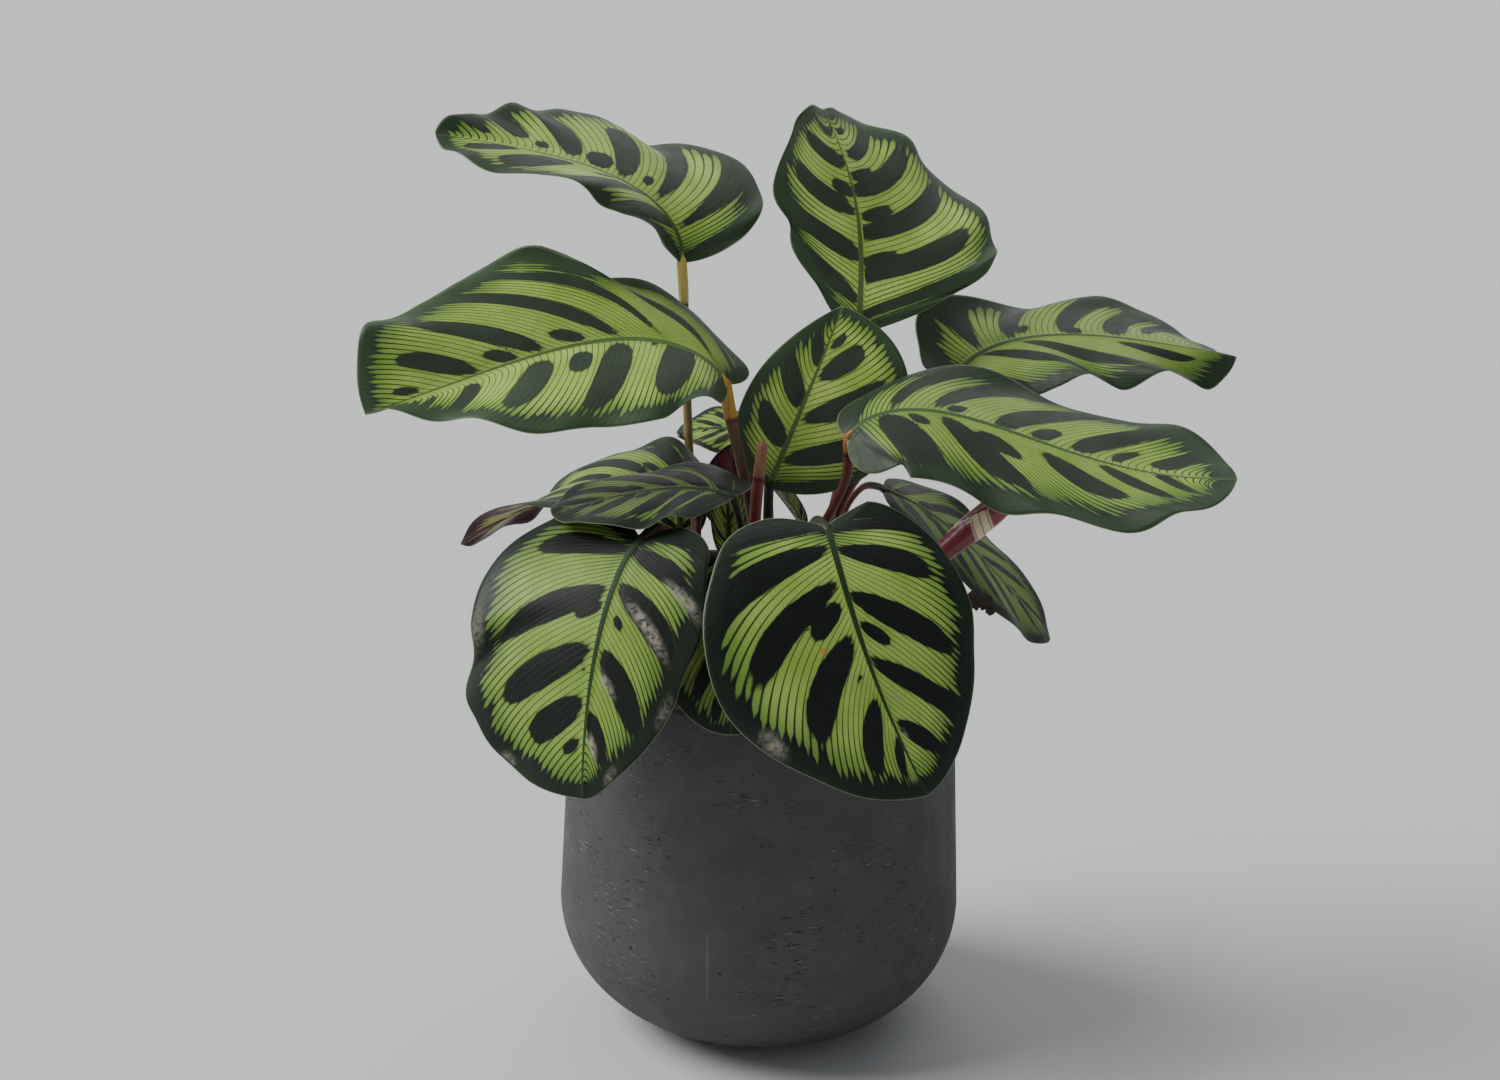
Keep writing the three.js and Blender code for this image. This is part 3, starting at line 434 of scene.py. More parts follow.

# Looks of each leaf. band: width of the dark margin in mm. lean: how far the side veins run towards the
# tip on their way out, as shares of a side's length. marks: the dark patches on each side as
# (place along the side, half-width in mm, first and last reach from midrib to margin), read at the
# patch's middle. stains: the same and a strength. Leaves without marks get theirs from a seeded rule.
# each leaf's two light levels, one for its pale bands and one for its dark parts, are painted light and shade: they
# make a leaf's colours lighter or darker to look as lit or as shaded as it sits
usualLook = {"tone": 0.25, "greenBack": 0, "markLean": 1, "stains": ([], []), "spots": ([], []),
             "lean": ((0.15, 0.14, 0.02), (0.15, 0.14, 0.02))}
leafLooks = {
    "upper_left": {
        "band": 7, "paintedBandLight": 0.64, "tone": 0.45, "lean": ((-0.03, 0.02, 0), (0.08, -0.09, -0.12)), "marks": (
            [(0.05, 9, 0.2, 1.3), (0.2, 6.5, -0.05, 0.8), (0.36, 6.5, 0.02, 1.2), (0.46, 3, 0.1, 0.4),
             (0.65, 10, 0.12, 0.78), (0.83, 7.5, 0.02, 0.74)],
            [(0.05, 11, 0, 1.3), (0.187, 4.8, 0.04, 1.3), (0.29, 4.8, 0.05, 1.2), (0.375, 3, 0.09, 0.19),
             (0.43, 6.8, 0.06, 0.76), (0.54, 7, 0.06, 0.3), (0.585, 6.5, 0.14, 0.95), (0.705, 3.5, 0.21, 0.4),
             (0.705, 5.4, 0.45, 1.0), (0.81, 3.2, 0.55, 0.88)])},
    "left": {
        "band": 8, "paintedBandLight": 0.74, "tone": 0.9, "lean": ((-0.02, -0.04, -0.2), (0.3, 0.13, 0.04)), "marks": (
            [(0.02, 6, 0.2, 1.2), (0.22, 12.5, -0.1, 0.66), (0.325, 1.6, 0, 0.06), (0.415, 10, 0.04, 0.8),
             (0.522, 6.3, 0.1, 0.34), (0.605, 8.8, 0.13, 0.83), (0.73, 5.8, 0.3, 0.96), (0.8, 2.8, 0.5, 0.92)],
            [(0.1, 5, 0.1, 1.2), (0.28, 6.5, 0.1, 1.2), (0.41, 5.2, 0.08, 1.1), (0.515, 6.8, 0.03, 0.95),
             (0.54, 6, 0.03, 0.17), (0.675, 7.4, 0.03, 0.78), (0.705, 4.8, 0.02, 0.19), (0.81, 6.2, 0.03, 0.66),
             (0.905, 3.2, 0.07, 0.36)])},
    "top": {
        "band": 7, "paintedBandLight": 1, "tone": 0.9, "lean": ((0.14, 0.02, -0.12), (0.22, 0, -0.12)), "marks": (
            [(0.08, 8, 0.05, 1.3), (0.235, 5.8, 0.02, 0.7), (0.42, 8, 0, 0.64), (0.6, 6.2, 0.02, 0.8),
             (0.68, 4.2, 0, 0.27), (0.775, 5, 0, 0.82), (0.88, 2.8, 0.04, 0.78)],
            [(0.06, 8, -0.05, 1.3), (0.2, 6.8, -0.06, 0.62), (0.365, 7.2, -0.06, 0.74), (0.4, 3.6, 0, 0.2),
             (0.515, 6.4, -0.04, 0.88), (0.58, 4.2, 0.03, 0.29), (0.67, 5.7, -0.02, 0.86), (0.74, 3.6, 0.03, 0.37),
             (0.79, 4.3, 0.13, 0.93), (0.9, 1.8, 0.2, 0.6)])},
    "right_rear": {
        "band": 8.5, "paintedBandLight": 0.36, "tone": 0.3, "lean": ((0.03, -0.12, -0.2), (0.35, 0.27, 0.12)), "marks": (
            [(0.06, 6, 0.25, 1.3), (0.17, 4.6, 0.05, 1.3), (0.285, 6.2, 0.05, 1.2), (0.37, 3.4, 0.09, 0.22),
             (0.45, 6.4, 0.04, 1.1), (0.55, 4, 0.02, 0.16), (0.585, 6.8, 0.07, 1.1), (0.66, 3.2, 0.14, 0.42),
             (0.67, 4.2, 0.3, 1.0)],
            [(0.17, 7, 0.1, 1.2), (0.35, 7.8, 0.03, 0.68), (0.53, 9, 0.05, 0.78), (0.78, 10, 0.11, 0.57)])},
    "right": {
        "band": 10, "paintedBandLight": 0.4, "tone": 0.38, "lean": ((0.06, -0.03, -0.12), (0, 0.16, -0.08)), "marks": (
            [(0.07, 12, 0.05, 1.3), (0.207, 5.2, 0.05, 1.3), (0.315, 7.2, 0.07, 1.2), (0.36, 4.5, 0.03, 0.15),
             (0.485, 8.2, 0, 0.82), (0.582, 5, 0.03, 0.3), (0.655, 7.8, 0.07, 0.92), (0.745, 3.5, 0.12, 0.5),
             (0.81, 6.8, 0.28, 0.84)],
            [(0.05, 5.5, 0.05, 1.0), (0.22, 11.8, 0.03, 0.78), (0.285, 5, 0.05, 0.2), (0.445, 9.2, 0.05, 0.72),
             (0.505, 8.5, 0.12, 0.34), (0.685, 9.2, 0.12, 0.66), (0.8, 7.6, 0.06, 0.68), (0.883, 4.8, 0, 0.66)])},
    "centre": {
        "band": 6, "paintedBandLight": 1, "tone": 1, "lean": ((0.1, -0.02, -0.1), (0.15, 0.15, 0.05)), "marks": (
            [(0.08, 8, 0.25, 1.3), (0.325, 7.2, 0.02, 0.66), (0.55, 7.2, 0, 0.82), (0.755, 5.5, 0, 0.8)],
            [(0.08, 9, 0.2, 1.3), (0.32, 7, 0.03, 0.8), (0.55, 6.6, 0.04, 0.76), (0.745, 6.6, 0.04, 0.6),
             (0.845, 3, 0.07, 0.34)])},
    "front_left": {
        "band": 9.2, "paintedBandLight": 0.42, "tone": 0.02, "markLean": 0.55,
        "lean": ((0.22, 0.12, -0.08), (0.22, 0.14, 0.05)), "marks": (
            [(0.03, 5, 0.1, 0.8), (0.18, 7.2, 0.04, 0.72), (0.385, 8.2, 0.04, 0.82), (0.467, 2.9, 0.09, 0.2),
             (0.63, 7.8, 0.06, 0.82), (0.81, 6.2, 0.02, 0.73)],
            [(0.04, 7, 0.1, 1.3), (0.17, 8, 0.04, 0.68), (0.415, 7.8, 0.03, 0.72), (0.44, 4, 0.03, 0.17),
             (0.605, 7.6, 0.04, 0.7), (0.63, 1, 0.05, 0.08), (0.75, 7.2, 0.05, 0.6), (0.84, 2.8, 0.06, 0.3)]),
        "stains": (
            [(0.255, 4.5, 0.4, 0.98, 0.75), (0.41, 4.6, 0.1, 0.82, 0.85), (0.662, 3.2, 0.06, 0.44, 0.8),
             (0.845, 3.6, 0.08, 0.62, 0.8), (0.53, 9, 0.86, 1.02, 0.4), (0.8, 8, 0.85, 1.0, 0.4)],
            [(0.76, 5, 0.9, 1.0, 0.6), (0.4, 12, 0.88, 1.02, 0.4)])},
    "front_right": {
        "band": 9.2, "paintedBandLight": 0.58, "tone": 0, "markLean": 0.55,
        "lean": ((0.17, 0.2, 0.02), (0.1, 0.17, 0.03)), "marks": (
            [(0, 3.5, 0.3, 1.3), (0.1, 3.8, 0.1, 1.3), (0.245, 8.2, 0.03, 0.7), (0.485, 7.8, 0.02, 0.78),
             (0.543, 4.2, 0.03, 0.23), (0.697, 6.4, 0.02, 1.2), (0.835, 5.6, 0.06, 0.67)],
            [(0, 3.5, 0.3, 1.3), (0.1, 4.6, 0.15, 1.3), (0.23, 7.2, 0.04, 0.86), (0.4, 6.4, 0.04, 0.74),
             (0.45, 5.4, 0.05, 0.28), (0.593, 7.6, 0.05, 0.75), (0.655, 1.3, 0.1, 0.17), (0.78, 6.5, 0.07, 0.74),
             (0.885, 3.9, 0, 0.58)]),
        "stains": ([(0.73, 4, 0.1, 0.25, 0.4), (0.83, 3, 0.04, 0.16, 0.5)], [(0.52, 6, 0.86, 1.0, 0.75)]),
        "spots": ([], [(0.515, 1.9, 0.245, 0.3, 0.9)])},
    "low_left_rear": {"patches": 5, "half": 6.6, "band": 7, "paintedBandLight": 0.45, "greenBack": 1},
    "low_left": {"patches": 5, "half": 6.4, "band": 7, "paintedBandLight": 0.34, "tone": 0.1},
    "front_middle": {"patches": 5, "half": 6, "band": 6, "paintedBandLight": 0.35, "tone": 0},
    "low_right": {"patches": 5, "half": 5.8, "band": 5.5, "paintedBandLight": 0.3, "tone": 0.2},
    "rear_small": {"patches": 4, "half": 2.6, "band": 2.5, "paintedBandLight": 0.5},
    "inner_left": {"patches": 4, "half": 2.4, "band": 2, "paintedBandLight": 0.4},
    "inner_rear": {"patches": 4, "half": 2.4, "band": 2, "paintedBandLight": 0.4},
    "inner_young": {"patches": 3, "half": 1.6, "band": 1, "paintedBandLight": 0.7},
    "inner_low": {"patches": 3, "half": 1.8, "band": 1.5, "paintedBandLight": 0.4},
}

bladeSet = {
    "veinSpread": 0.62, "veinStart": 1.5, "startShare": 0.4, "firstVein": 0.033, "rowCrowding": 1.3,
    "lobeEnd": 0.45, "midribSteps": 48, "bendKnee": 1,
    "bowFrom": 0.35, "bowAlong": 0.45, "bowOut": 0.28, "rippleEdge": 2.2,  # all above is the CAD's
    "thickness": 0.62, "marginThickness": 0.22, "ribDepth": 1.5, "ribHalf": 1.3, "ribRise": 0.35,
    "grooveDepth": 0.45, "grooveAt": 2.6, "grooveHalf": 1.1,  # mm, beside the midrib on the upper face
    "columns": 26, "crowding": 1.12, "baseRows": 7, "rowsPerMm": 0.45, "moreRows": 35,
    "veinStep": 3.3,  # mm between fine veins at mid-reach
}


def smoothTriple(values, u):
    base, middle, tip = values if isinstance(values, tuple) else (values,) * 3
    return base * (1 - u) * (1 - 2 * u) + middle * 4 * u * (1 - u) + tip * u * (2 * u - 1)


def sideOf(leaf, key, side):  # one number stands for both sides
    return leaf[key][side] if isinstance(leaf[key], tuple) else leaf[key]


def turnAbout(vectors, axes, angles):
    cosine, sine = np.cos(angles)[:, None], np.sin(angles)[:, None]
    dot = (vectors * axes).sum(1)[:, None]
    return vectors * cosine + np.cross(axes, vectors) * sine + axes * dot * (1 - cosine)


def framesAt(leaf, share):  # forward, left and up for each share of the midrib
    u = np.clip(share, 0, 1)
    u = (1 + bladeSet["bendKnee"]) * u / (u + bladeSet["bendKnee"])
    heading, pitch, roll, sway = (np.radians(smoothTriple(leaf[key], u))
                                  for key in ("heading", "pitch", "roll", "sway"))
    forward = np.stack([np.cos(pitch) * np.cos(heading), np.cos(pitch) * np.sin(heading), np.sin(pitch)], 1)
    left = np.stack([-np.sin(heading), np.cos(heading), np.zeros_like(heading)], 1)
    left = turnAbout(left, forward, roll)
    up = np.cross(forward, left)
    return turnAbout(forward, up, sway), turnAbout(left, up, sway), up


def midribOf(leaf):
    steps = bladeSet["midribSteps"]
    forward = framesAt(leaf, (np.arange(steps) + 0.5) / steps)[0]
    start = np.array(leaf["base"], dtype=float)
    return np.vstack([start, start + np.cumsum(forward * leaf["length"] / steps, axis=0)])


def placeOnLeaf(leaf, midrib, side, x, distance, lift):
    steps = bladeSet["midribSteps"]
    share = np.clip(x / leaf["length"], 0, 1)
    step = np.minimum(np.floor(share * steps).astype(int), steps - 1)
    part = (share * steps - step)[:, None]
    forward, left, up = framesAt(leaf, share)
    centre = midrib[step] * (1 - part) + midrib[step + 1] * part + forward * (x - share * leaf["length"])[:, None]
    outward = left * (1 if side == 0 else -1)
    fold = np.radians(smoothTriple(sideOf(leaf, "fold", side), share))
    bend = np.radians(smoothTriple(sideOf(leaf, "curl", side), share)) / sideOf(leaf, "width", side)
    bend = np.where(np.abs(bend) < 1e-6, 1e-6, bend)
    slope = fold + bend * distance
    return (centre + outward * ((np.sin(slope) - np.sin(fold)) / bend - lift * np.sin(slope))[:, None]
            + up * ((np.cos(fold) - np.cos(slope)) / bend + lift * np.cos(slope))[:, None])


def plainOutline(leaf, side, rim):
    share = (1 - np.cos(np.pi * rim)) / 2
    point = sideOf(leaf, "point", side)
    widest = 0.5 / (0.5 + point)
    breadth = np.sqrt(share) * (1 - share) ** point
    top = math.sqrt(widest) * (1 - widest) ** point
    back = sideOf(leaf, "lobe", side) * np.sin(np.pi * np.minimum(rim / bladeSet["lobeEnd"], 1))
    return leaf["length"] * (share - back), sideOf(leaf, "width", side) * breadth / top


def roundMargin(values, rim):  # smooth, from evenly spaced values; zero at both ends
    if not values:
        return np.zeros_like(rim)
    knots = np.array([0, *values, 0], dtype=float)
    last = len(knots) - 1
    at = np.minimum(rim, 0.9999) * last
    i = np.floor(at).astype(int)
    a, b, c, d = (knots[np.clip(i + k, 0, last)] for k in (-1, 0, 1, 2))
    u = at - i
    return b + u / 2 * (c - a + u * (2 * a - 5 * b + 4 * c - d + u * (3 * b - a - 3 * c + d)))


def outlineAt(leaf, side, rim):
    x, y = plainOutline(leaf, side, rim)
    low, high = (plainOutline(leaf, side, np.clip(rim + d, 0.002, 0.998)) for d in (-0.002, 0.002))
    run, rise = high[0] - low[0], high[1] - low[1]
    size = np.maximum(np.hypot(run, rise), 1e-9)
    out = roundMargin(sideOf(leaf, "edge", side), rim)
    return x - rise / size * out, y + run / size * out


def flatSide(leaf, side, rows, reach):  # flat x, distance and ripple for each row and reach
    vein = bladeSet["firstVein"] + (1 - bladeSet["firstVein"]) * rows ** bladeSet["rowCrowding"]
    vein, reach = np.meshgrid(vein, reach, indexing="ij")
    isBase = np.repeat((rows <= 0)[:, None], reach.shape[1], axis=1)
    rim = vein ** bladeSet["veinSpread"] * np.where(isBase, reach, 1)
    x, y = outlineAt(leaf, side, rim)
    curved = bladeSet["startShare"]
    start = leaf["length"] * (curved * vein ** bladeSet["veinStart"] + (1 - curved) * vein)
    bow = np.minimum(rim / bladeSet["bowFrom"], 1) * (1 - reach)
    x = np.where(isBase, x, start + (x - start) * reach * (1 - bladeSet["bowAlong"] * bow))
    y = np.where(isBase, y, y * reach * (1 + bladeSet["bowOut"] * bow))
    height, number, phase = leaf["wave"][side]
    ripple = (np.sin(2 * np.pi * (number * rim + phase))
              + 0.35 * np.sin(2 * np.pi * (1.7 * number * rim + 2.3 * phase)))
    lift = height * np.sin(np.pi * rim) * ripple + roundMargin(sideOf(leaf, "raise", side), rim)
    return x, y, lift * reach ** bladeSet["rippleEdge"]


def nearestOnLine(points, line):  # each point's distance to an open polyline
    best = np.full(len(points), 1e9)
    for a, b in zip(line[:-1], line[1:]):
        run = b - a
        t = np.clip(((points - a) @ run) / max((run ** 2).sum(), 1e-12), 0, 1)
        best = np.minimum(best, np.hypot(*(points - a - t[:, None] * run).T))
    return best


def marksFor(name, look, side):  # by a seeded rule where leafLooks gives none
    if "marks" in look:
        return look["marks"][side]
    dice = np.random.default_rng(sum(map(ord, name)) + 31 * side)
    count, made = look["patches"], [(0.03, 1.2 * look["half"], 0.1, 1.3)]
    for k in range(count):
        at = (k + 0.85 + 0.15 * dice.uniform(-1, 1)) / (count + 0.55)
        half = look["half"] * (1.1 - 0.45 * at) * dice.uniform(0.9, 1.12)
        made.append((at, half, 0.04, 0.7 + 0.1 * dice.random()))
        if k < count - 1:
            made.append((at + 0.5 / count, 0.5 * half, 0.05, 0.2 + 0.08 * dice.random()))
    return made


def veinPlaces(look, side, at, reach, part=1.0):  # where on the midrib the side vein of a point starts
    places = np.linspace(-0.5, 1.1, 321)
    shift = (np.clip(reach, 0, 1.3) / 0.8) ** 0.6  # how much of its lean a vein has made by then
    lean = smoothTriple(look["lean"][side], np.clip(places, 0, 1))
    return np.interp(at, places + part * lean * shift, places)


def markedField(marks, look, side, vein, reach, size):
    field = np.full(vein.shape, -99.0)
    for at, half, first, last in marks:
        middle = (first + last) / 2
        centre = veinPlaces(look, side, at, middle, look["markLean"])
        across, along = (vein - centre) * size / half, (reach - middle) / ((last - first) / 2)
        q = (np.abs(across) ** 2.5 + np.abs(along) ** 2.5) ** 0.4
        field = np.maximum(field, (1 - q) * half)
    return field


def sideGrid(name, leaf, look, side):
    reach = np.linspace(0, 1, bladeSet["columns"] + 1) ** bladeSet["crowding"]
    rows = np.linspace(0, 1, int(leaf["length"] * bladeSet["rowsPerMm"]) + bladeSet["moreRows"])
    grids = flatSide(leaf, side, rows, reach)
    parts = np.linspace(0, 1, bladeSet["baseRows"] + 2)[1:-1, None]
    x, y, ripple = (np.vstack([grid[:1], grid[0] * (1 - parts) + grid[1] * parts, grid[1:]]) for grid in grids)
    flat = np.stack([x, y], 2)
    down, out = np.zeros_like(x), np.zeros_like(x)  # mm from the base and from the midrib
    down[1:] = np.cumsum(np.hypot(*np.moveaxis(np.diff(flat, axis=0), 2, 0)), axis=0)
    out[:, 1:] = np.cumsum(np.hypot(*np.moveaxis(np.diff(flat, axis=1), 2, 0)), axis=1)
    margin = np.vstack([flat[0], flat[1:, -1]])
    toRim = nearestOnLine(flat.reshape(-1, 2), margin).reshape(x.shape)
    mid = down[:, len(reach) // 2]
    size = mid[-1]
    vein, forMarks = (np.stack([veinPlaces(look, side, mid / size, r, part) for r in reach], 1)
                      for part in (1.0, look["markLean"]))
    far = np.broadcast_to(reach, x.shape)
    made = {"dark": markedField(marksFor(name, look, side), look, side, forMarks, far, size)}
    for key in ("stains", "spots"):
        made[key] = np.zeros(x.shape)
        for at, half, first, last, strength in look[key][side]:
            spread = markedField([(at, half, first, last)], look, side, forMarks, far, size) / half
            made[key] = np.maximum(made[key], strength * np.clip(1.6 * spread, 0, 1))
    band = look["band"] * (0.85 + 0.25 * np.sin(np.pi * mid / size))[:, None] - toRim
    band = band * 7 / max(look["band"], 2)  # small leaves get the same share of fingers
    return {**made, "x": x, "y": y, "ripple": ripple, "out": out, "rim": toRim, "band": band,
            "lines": vein * size / bladeSet["veinStep"], "share": np.clip(x / leaf["length"], 0, 1)}


def makeBlade(name, leaf, look, materials):
    midrib = midribOf(leaf)
    sides = [sideGrid(name, leaf, look, side) for side in (0, 1)]
    both = {key: np.hstack([sides[1][key][:, :0:-1], sides[0][key]]) for key in sides[0]}  # right margin to left
    rim, share, ripple = both["rim"], both["share"], both["ripple"]
    count, wide = rim.shape
    thin, thick = bladeSet["marginThickness"], bladeSet["thickness"]
    half = 0.5 * (thin + (thick - thin) * np.clip(rim / 4, 0, 1))
    rows = np.linspace(0, 1, count)[:, None]
    rib = np.exp(-(both["y"] / bladeSet["ribHalf"]) ** 2) * (1 - 0.75 * rows) * np.clip(rim / 3, 0, 1)
    groove = np.exp(-((np.abs(both["y"]) - bladeSet["grooveAt"]) / bladeSet["grooveHalf"]) ** 2) * (1 - 0.7 * rows)
    points = []
    for face, shaped in ((1, bladeSet["ribRise"] * rib - bladeSet["grooveDepth"] * groove),
                         (-1, -bladeSet["ribDepth"] * rib)):
        lift = ripple + face * half + shaped
        lift[0] = ripple[0] + face * half[0]
        for side, part in ((1, slice(0, wide // 2)), (0, slice(wide // 2, wide))):
            x, y, high = (grid[:, part].ravel() for grid in (both["x"], both["y"], lift))
            points.append(placeOnLeaf(leaf, midrib, side, x, y, high).reshape(count, -1, 3))
    skins = [np.concatenate(pair, axis=1).reshape(-1, 3) for pair in (points[:2], points[2:])]
    upper, under, edge = sheetFaces(count, wide)
    piece = newPiece(titled("blade", name), np.concatenate(skins) * mm, np.concatenate([upper, under, edge]).tolist())
    greenBack = look["greenBack"] * np.clip((share - 0.45) / 0.3, 0, 1)
    for field, values in (("darkField", both["dark"]), ("bandField", both["band"]), ("ribDistance", both["y"]),
                          ("rimDistance", rim), ("leafShare", share), ("stain", both["stains"]),
                          ("orangeSpot", both["spots"]), ("greenBack", greenBack),
                          # painted light and shade: one light level per leaf for the dark parts and one for the pale
                          # bands
                          ("tone", np.full_like(rim, look["tone"])),
                          ("paintedBandLight", np.full_like(rim, look["paintedBandLight"]))):
        addField(piece, field, np.tile(values.ravel(), 2))
    addMap(piece, "veins", np.tile(both["lines"].ravel(), 2), np.tile(both["out"].ravel(), 2))
    settle(piece, "leaf_" + name, "leaf", *materials)
    slots = np.zeros(len(piece.data.polygons), dtype=np.int32)
    slots[len(upper):len(upper) + len(under)] = 1
    piece.data.polygons.foreach_set("material_index", slots)
    rework(piece, weld)
    return midrib


# stalks
stalkSet = {  # mm; a stalk runs on under its blade, past the swollen joint
    "sides": 16, "step": 2.2, "curveSteps": 24, "rootDepth": 14, "clearance": 0.3,
    "runOn": 9, "tailDepths": ((0.7,), (0.9,)), "tailRadii": (0.62, 0.3),  # the tail's radii are shares
    "jointLong": 15, "jointSwell": 0.16, "swellFrom": 22, "swellEase": 8,
    "footSwell": 0.12, "footLong": 30, "noJoint": 60,  # noJoint: how far past its end a plain stalk's joint would be
}


def curveThrough(points, step):  # centripetal Catmull-Rom, evenly spaced
    points = [np.array(p, dtype=float) for p in points]
    points = [2 * points[0] - points[1], *points, 2 * points[-1] - points[-2]]
    dense = []
    for p0, p1, p2, p3 in zip(points, points[1:], points[2:], points[3:]):
        d0, d1, d2 = (max(np.linalg.norm(b - a), 1e-4) ** 0.5 for a, b in ((p0, p1), (p1, p2), (p2, p3)))
        t1 = ((p1 - p0) / d0 - (p2 - p0) / (d0 + d1) + (p2 - p1) / d1) * d1
        t2 = ((p2 - p1) / d1 - (p3 - p1) / (d1 + d2) + (p3 - p2) / d2) * d1
        for k in range(stalkSet["curveSteps"]):
            u = k / stalkSet["curveSteps"]
            dense.append(p1 + t1 * u + (-3 * p1 + 3 * p2 - 2 * t1 - t2) * u ** 2
                         + (2 * p1 - 2 * p2 + t1 + t2) * u ** 3)
    dense = np.array(dense + [points[-2]])
    run = np.concatenate([[0], np.cumsum(np.linalg.norm(np.diff(dense, axis=0), axis=1))])
    at = np.linspace(0, run[-1], max(int(run[-1] / step), 4) + 1)
    return np.stack([np.interp(at, run, dense[:, k]) for k in range(3)], 1), at


def tangentsOf(path):
    tangent = np.gradient(path, axis=0)
    return tangent / np.linalg.norm(tangent, axis=1)[:, None]


def tube(name, path, radii, sides=stalkSet["sides"]):
    tangent = tangentsOf(path)
    side = np.cross(tangent[0], (0.31, 0.95, 0.02))
    turn = 2 * np.pi * np.arange(sides)[:, None] / sides
    rings = []
    for point, ahead, radius in zip(path, tangent, radii):
        side = side - ahead * (side @ ahead)
        side /= np.linalg.norm(side)
        rings.append(point + radius * (np.cos(turn) * side + np.sin(turn) * np.cross(ahead, side)))
    points = np.concatenate([*rings, [path[0]], [path[-1]]])
    return newPiece(name, points * mm, ringFaces(len(path), sides))


def finishStalk(piece, node, slot, material, at, joint, sides=stalkSet["sides"]):
    foot = np.concatenate([np.repeat(at, sides), [at[0], at[-1]]])  # mm from the foot; then mm below the joint's end
    addField(piece, "fromFoot", foot)
    addField(piece, "toBlade", joint - foot)
    addMap(piece, "bark", np.concatenate([np.tile(np.arange(sides) / sides, len(at)), [0, 0]]), foot)
    settle(piece, node, slot, material)


def stalkPath(points, end=()):
    (x, y), level, depth = points[0][:2], soilSet["level"], stalkSet["rootDepth"]
    foot = [(x, y, level - depth + stalkSet["clearance"]), (x, y, level - depth / 2), (x, y, level + 4)]
    return curveThrough([*foot, *points, *end], stalkSet["step"])


def stalkMaterial(name, low, high, joint, ring, jointLong=stalkSet["jointLong"], change=(10.0, 90.0)):
    material, where = newMaterial(name)
    toBlade = readField(where.tree, "toBlade")
    streak = cloud(stretch(where, 900, 900, 60), 1.0)
    inJoint = ease(toBlade + streak * 3.0, jointLong + 3.0, jointLong)
    nearRing = ease(abs(toBlade - (jointLong + 1.5)), 1.6, 0.6)
    colour = layered(mix(ease(readField(where.tree, "fromFoot"), *change), low, high),
                     (ease(streak, 0.45, 0.75) * 0.45, "2e1a14"),
                     (inJoint, mix(ease(streak, 0.3, 0.8, 0.0, 0.4), joint, low)), (nearRing, ring))
    return finishMaterial(material, colour, 0.45, relief(streak, 0.3, 0.0003), 0.3)


def makeStalk(name, leaf, midrib, material):
    radius, points = leaf["stalk"]
    forward, up = (framesAt(leaf, np.zeros(1))[k][0] for k in (0, 2))
    run = np.array([0.5, 1]) * stalkSet["runOn"] / leaf["length"] * bladeSet["midribSteps"]
    tail = np.stack([np.interp(run, range(len(midrib)), midrib[:, k]) for k in range(3)], 1)
    path, at = stalkPath(points, [np.array(leaf["base"]) + 0.8 * forward - up * 0.5 * radius])
    joint = at[-1]
    path = np.vstack([path, tail - up * stalkSet["tailDepths"]])
    at = np.concatenate([at, joint + np.cumsum(np.linalg.norm(np.diff(path[-3:], axis=0), axis=1))])
    swell = np.clip((at - joint + stalkSet["swellFrom"]) / stalkSet["swellEase"], 0, 1) * (at <= joint)
    radii = radius * (1 + stalkSet["jointSwell"] * swell)
    radii[-2:] = radius * np.array(stalkSet["tailRadii"])
    radii = radii * (1 + stalkSet["footSwell"] * np.clip(1 - at / stalkSet["footLong"], 0, 1))
    finishStalk(tube(titled("stalk", name), path, radii), "stalk_" + name, "stalk", material, at, joint)


# the rolled new leaf, the cut stump and the withered scrap
spearSet = {  # the seam in shares of a turn; streak and patch: place, outer and inner half-width
    "foot": (70, 1, 216), "tip": (122, -7, 266),
    "radii": ((0, 2.2), (0.14, 4.4), (0.5, 6.4), (0.68, 6.4), (0.9, 3.84), (1, 0.25)),
    "sides": 48, "rings": 70, "seamStep": 0.12, "seamTurns": 0.45, "seamStart": 0.62,
    "streak": (0.22, 0.03, 0.018), "patch": (0.58, 0.075, 0.055), "stalk": (2.2, ((38, 0, 180), (56, 2, 203))),
}
cutSet = {"radius": 2.8, "points": ((-4, -17, 200), (-5, -16, 244), (-2, -15, 281)),
          "shrivel": ((0, 1, 7, 12), (0.5, 0.78, 0.88, 1))}  # mm from its end, and shares of the radius
driedSet = {
    "width": 8, "thickness": 0.56, "crumple": 1.5, "turn": 62, "columns": 9, "folds": 7, "seed": 5,
    "points": ((91, -10, 204), (95, -10, 207), (100, -9.3, 206.8), (104, -9, 203.5), (102.5, -10, 201)),
    "stalk": (1.0, ((60, -14, 185), (76, -12, 195), (90.7, -10.1, 203.5))), "sprigOn": "stalk_upper_left",
    "sprig": (((-38.2, 29.6, 271.5), (-40, 29, 272.6), (-41.6, 28.8, 275.6)),
              ((-39.8, 29.1, 272.4), (-41.2, 28.9, 273), (-42.5, 28.8, 273.6))),
}


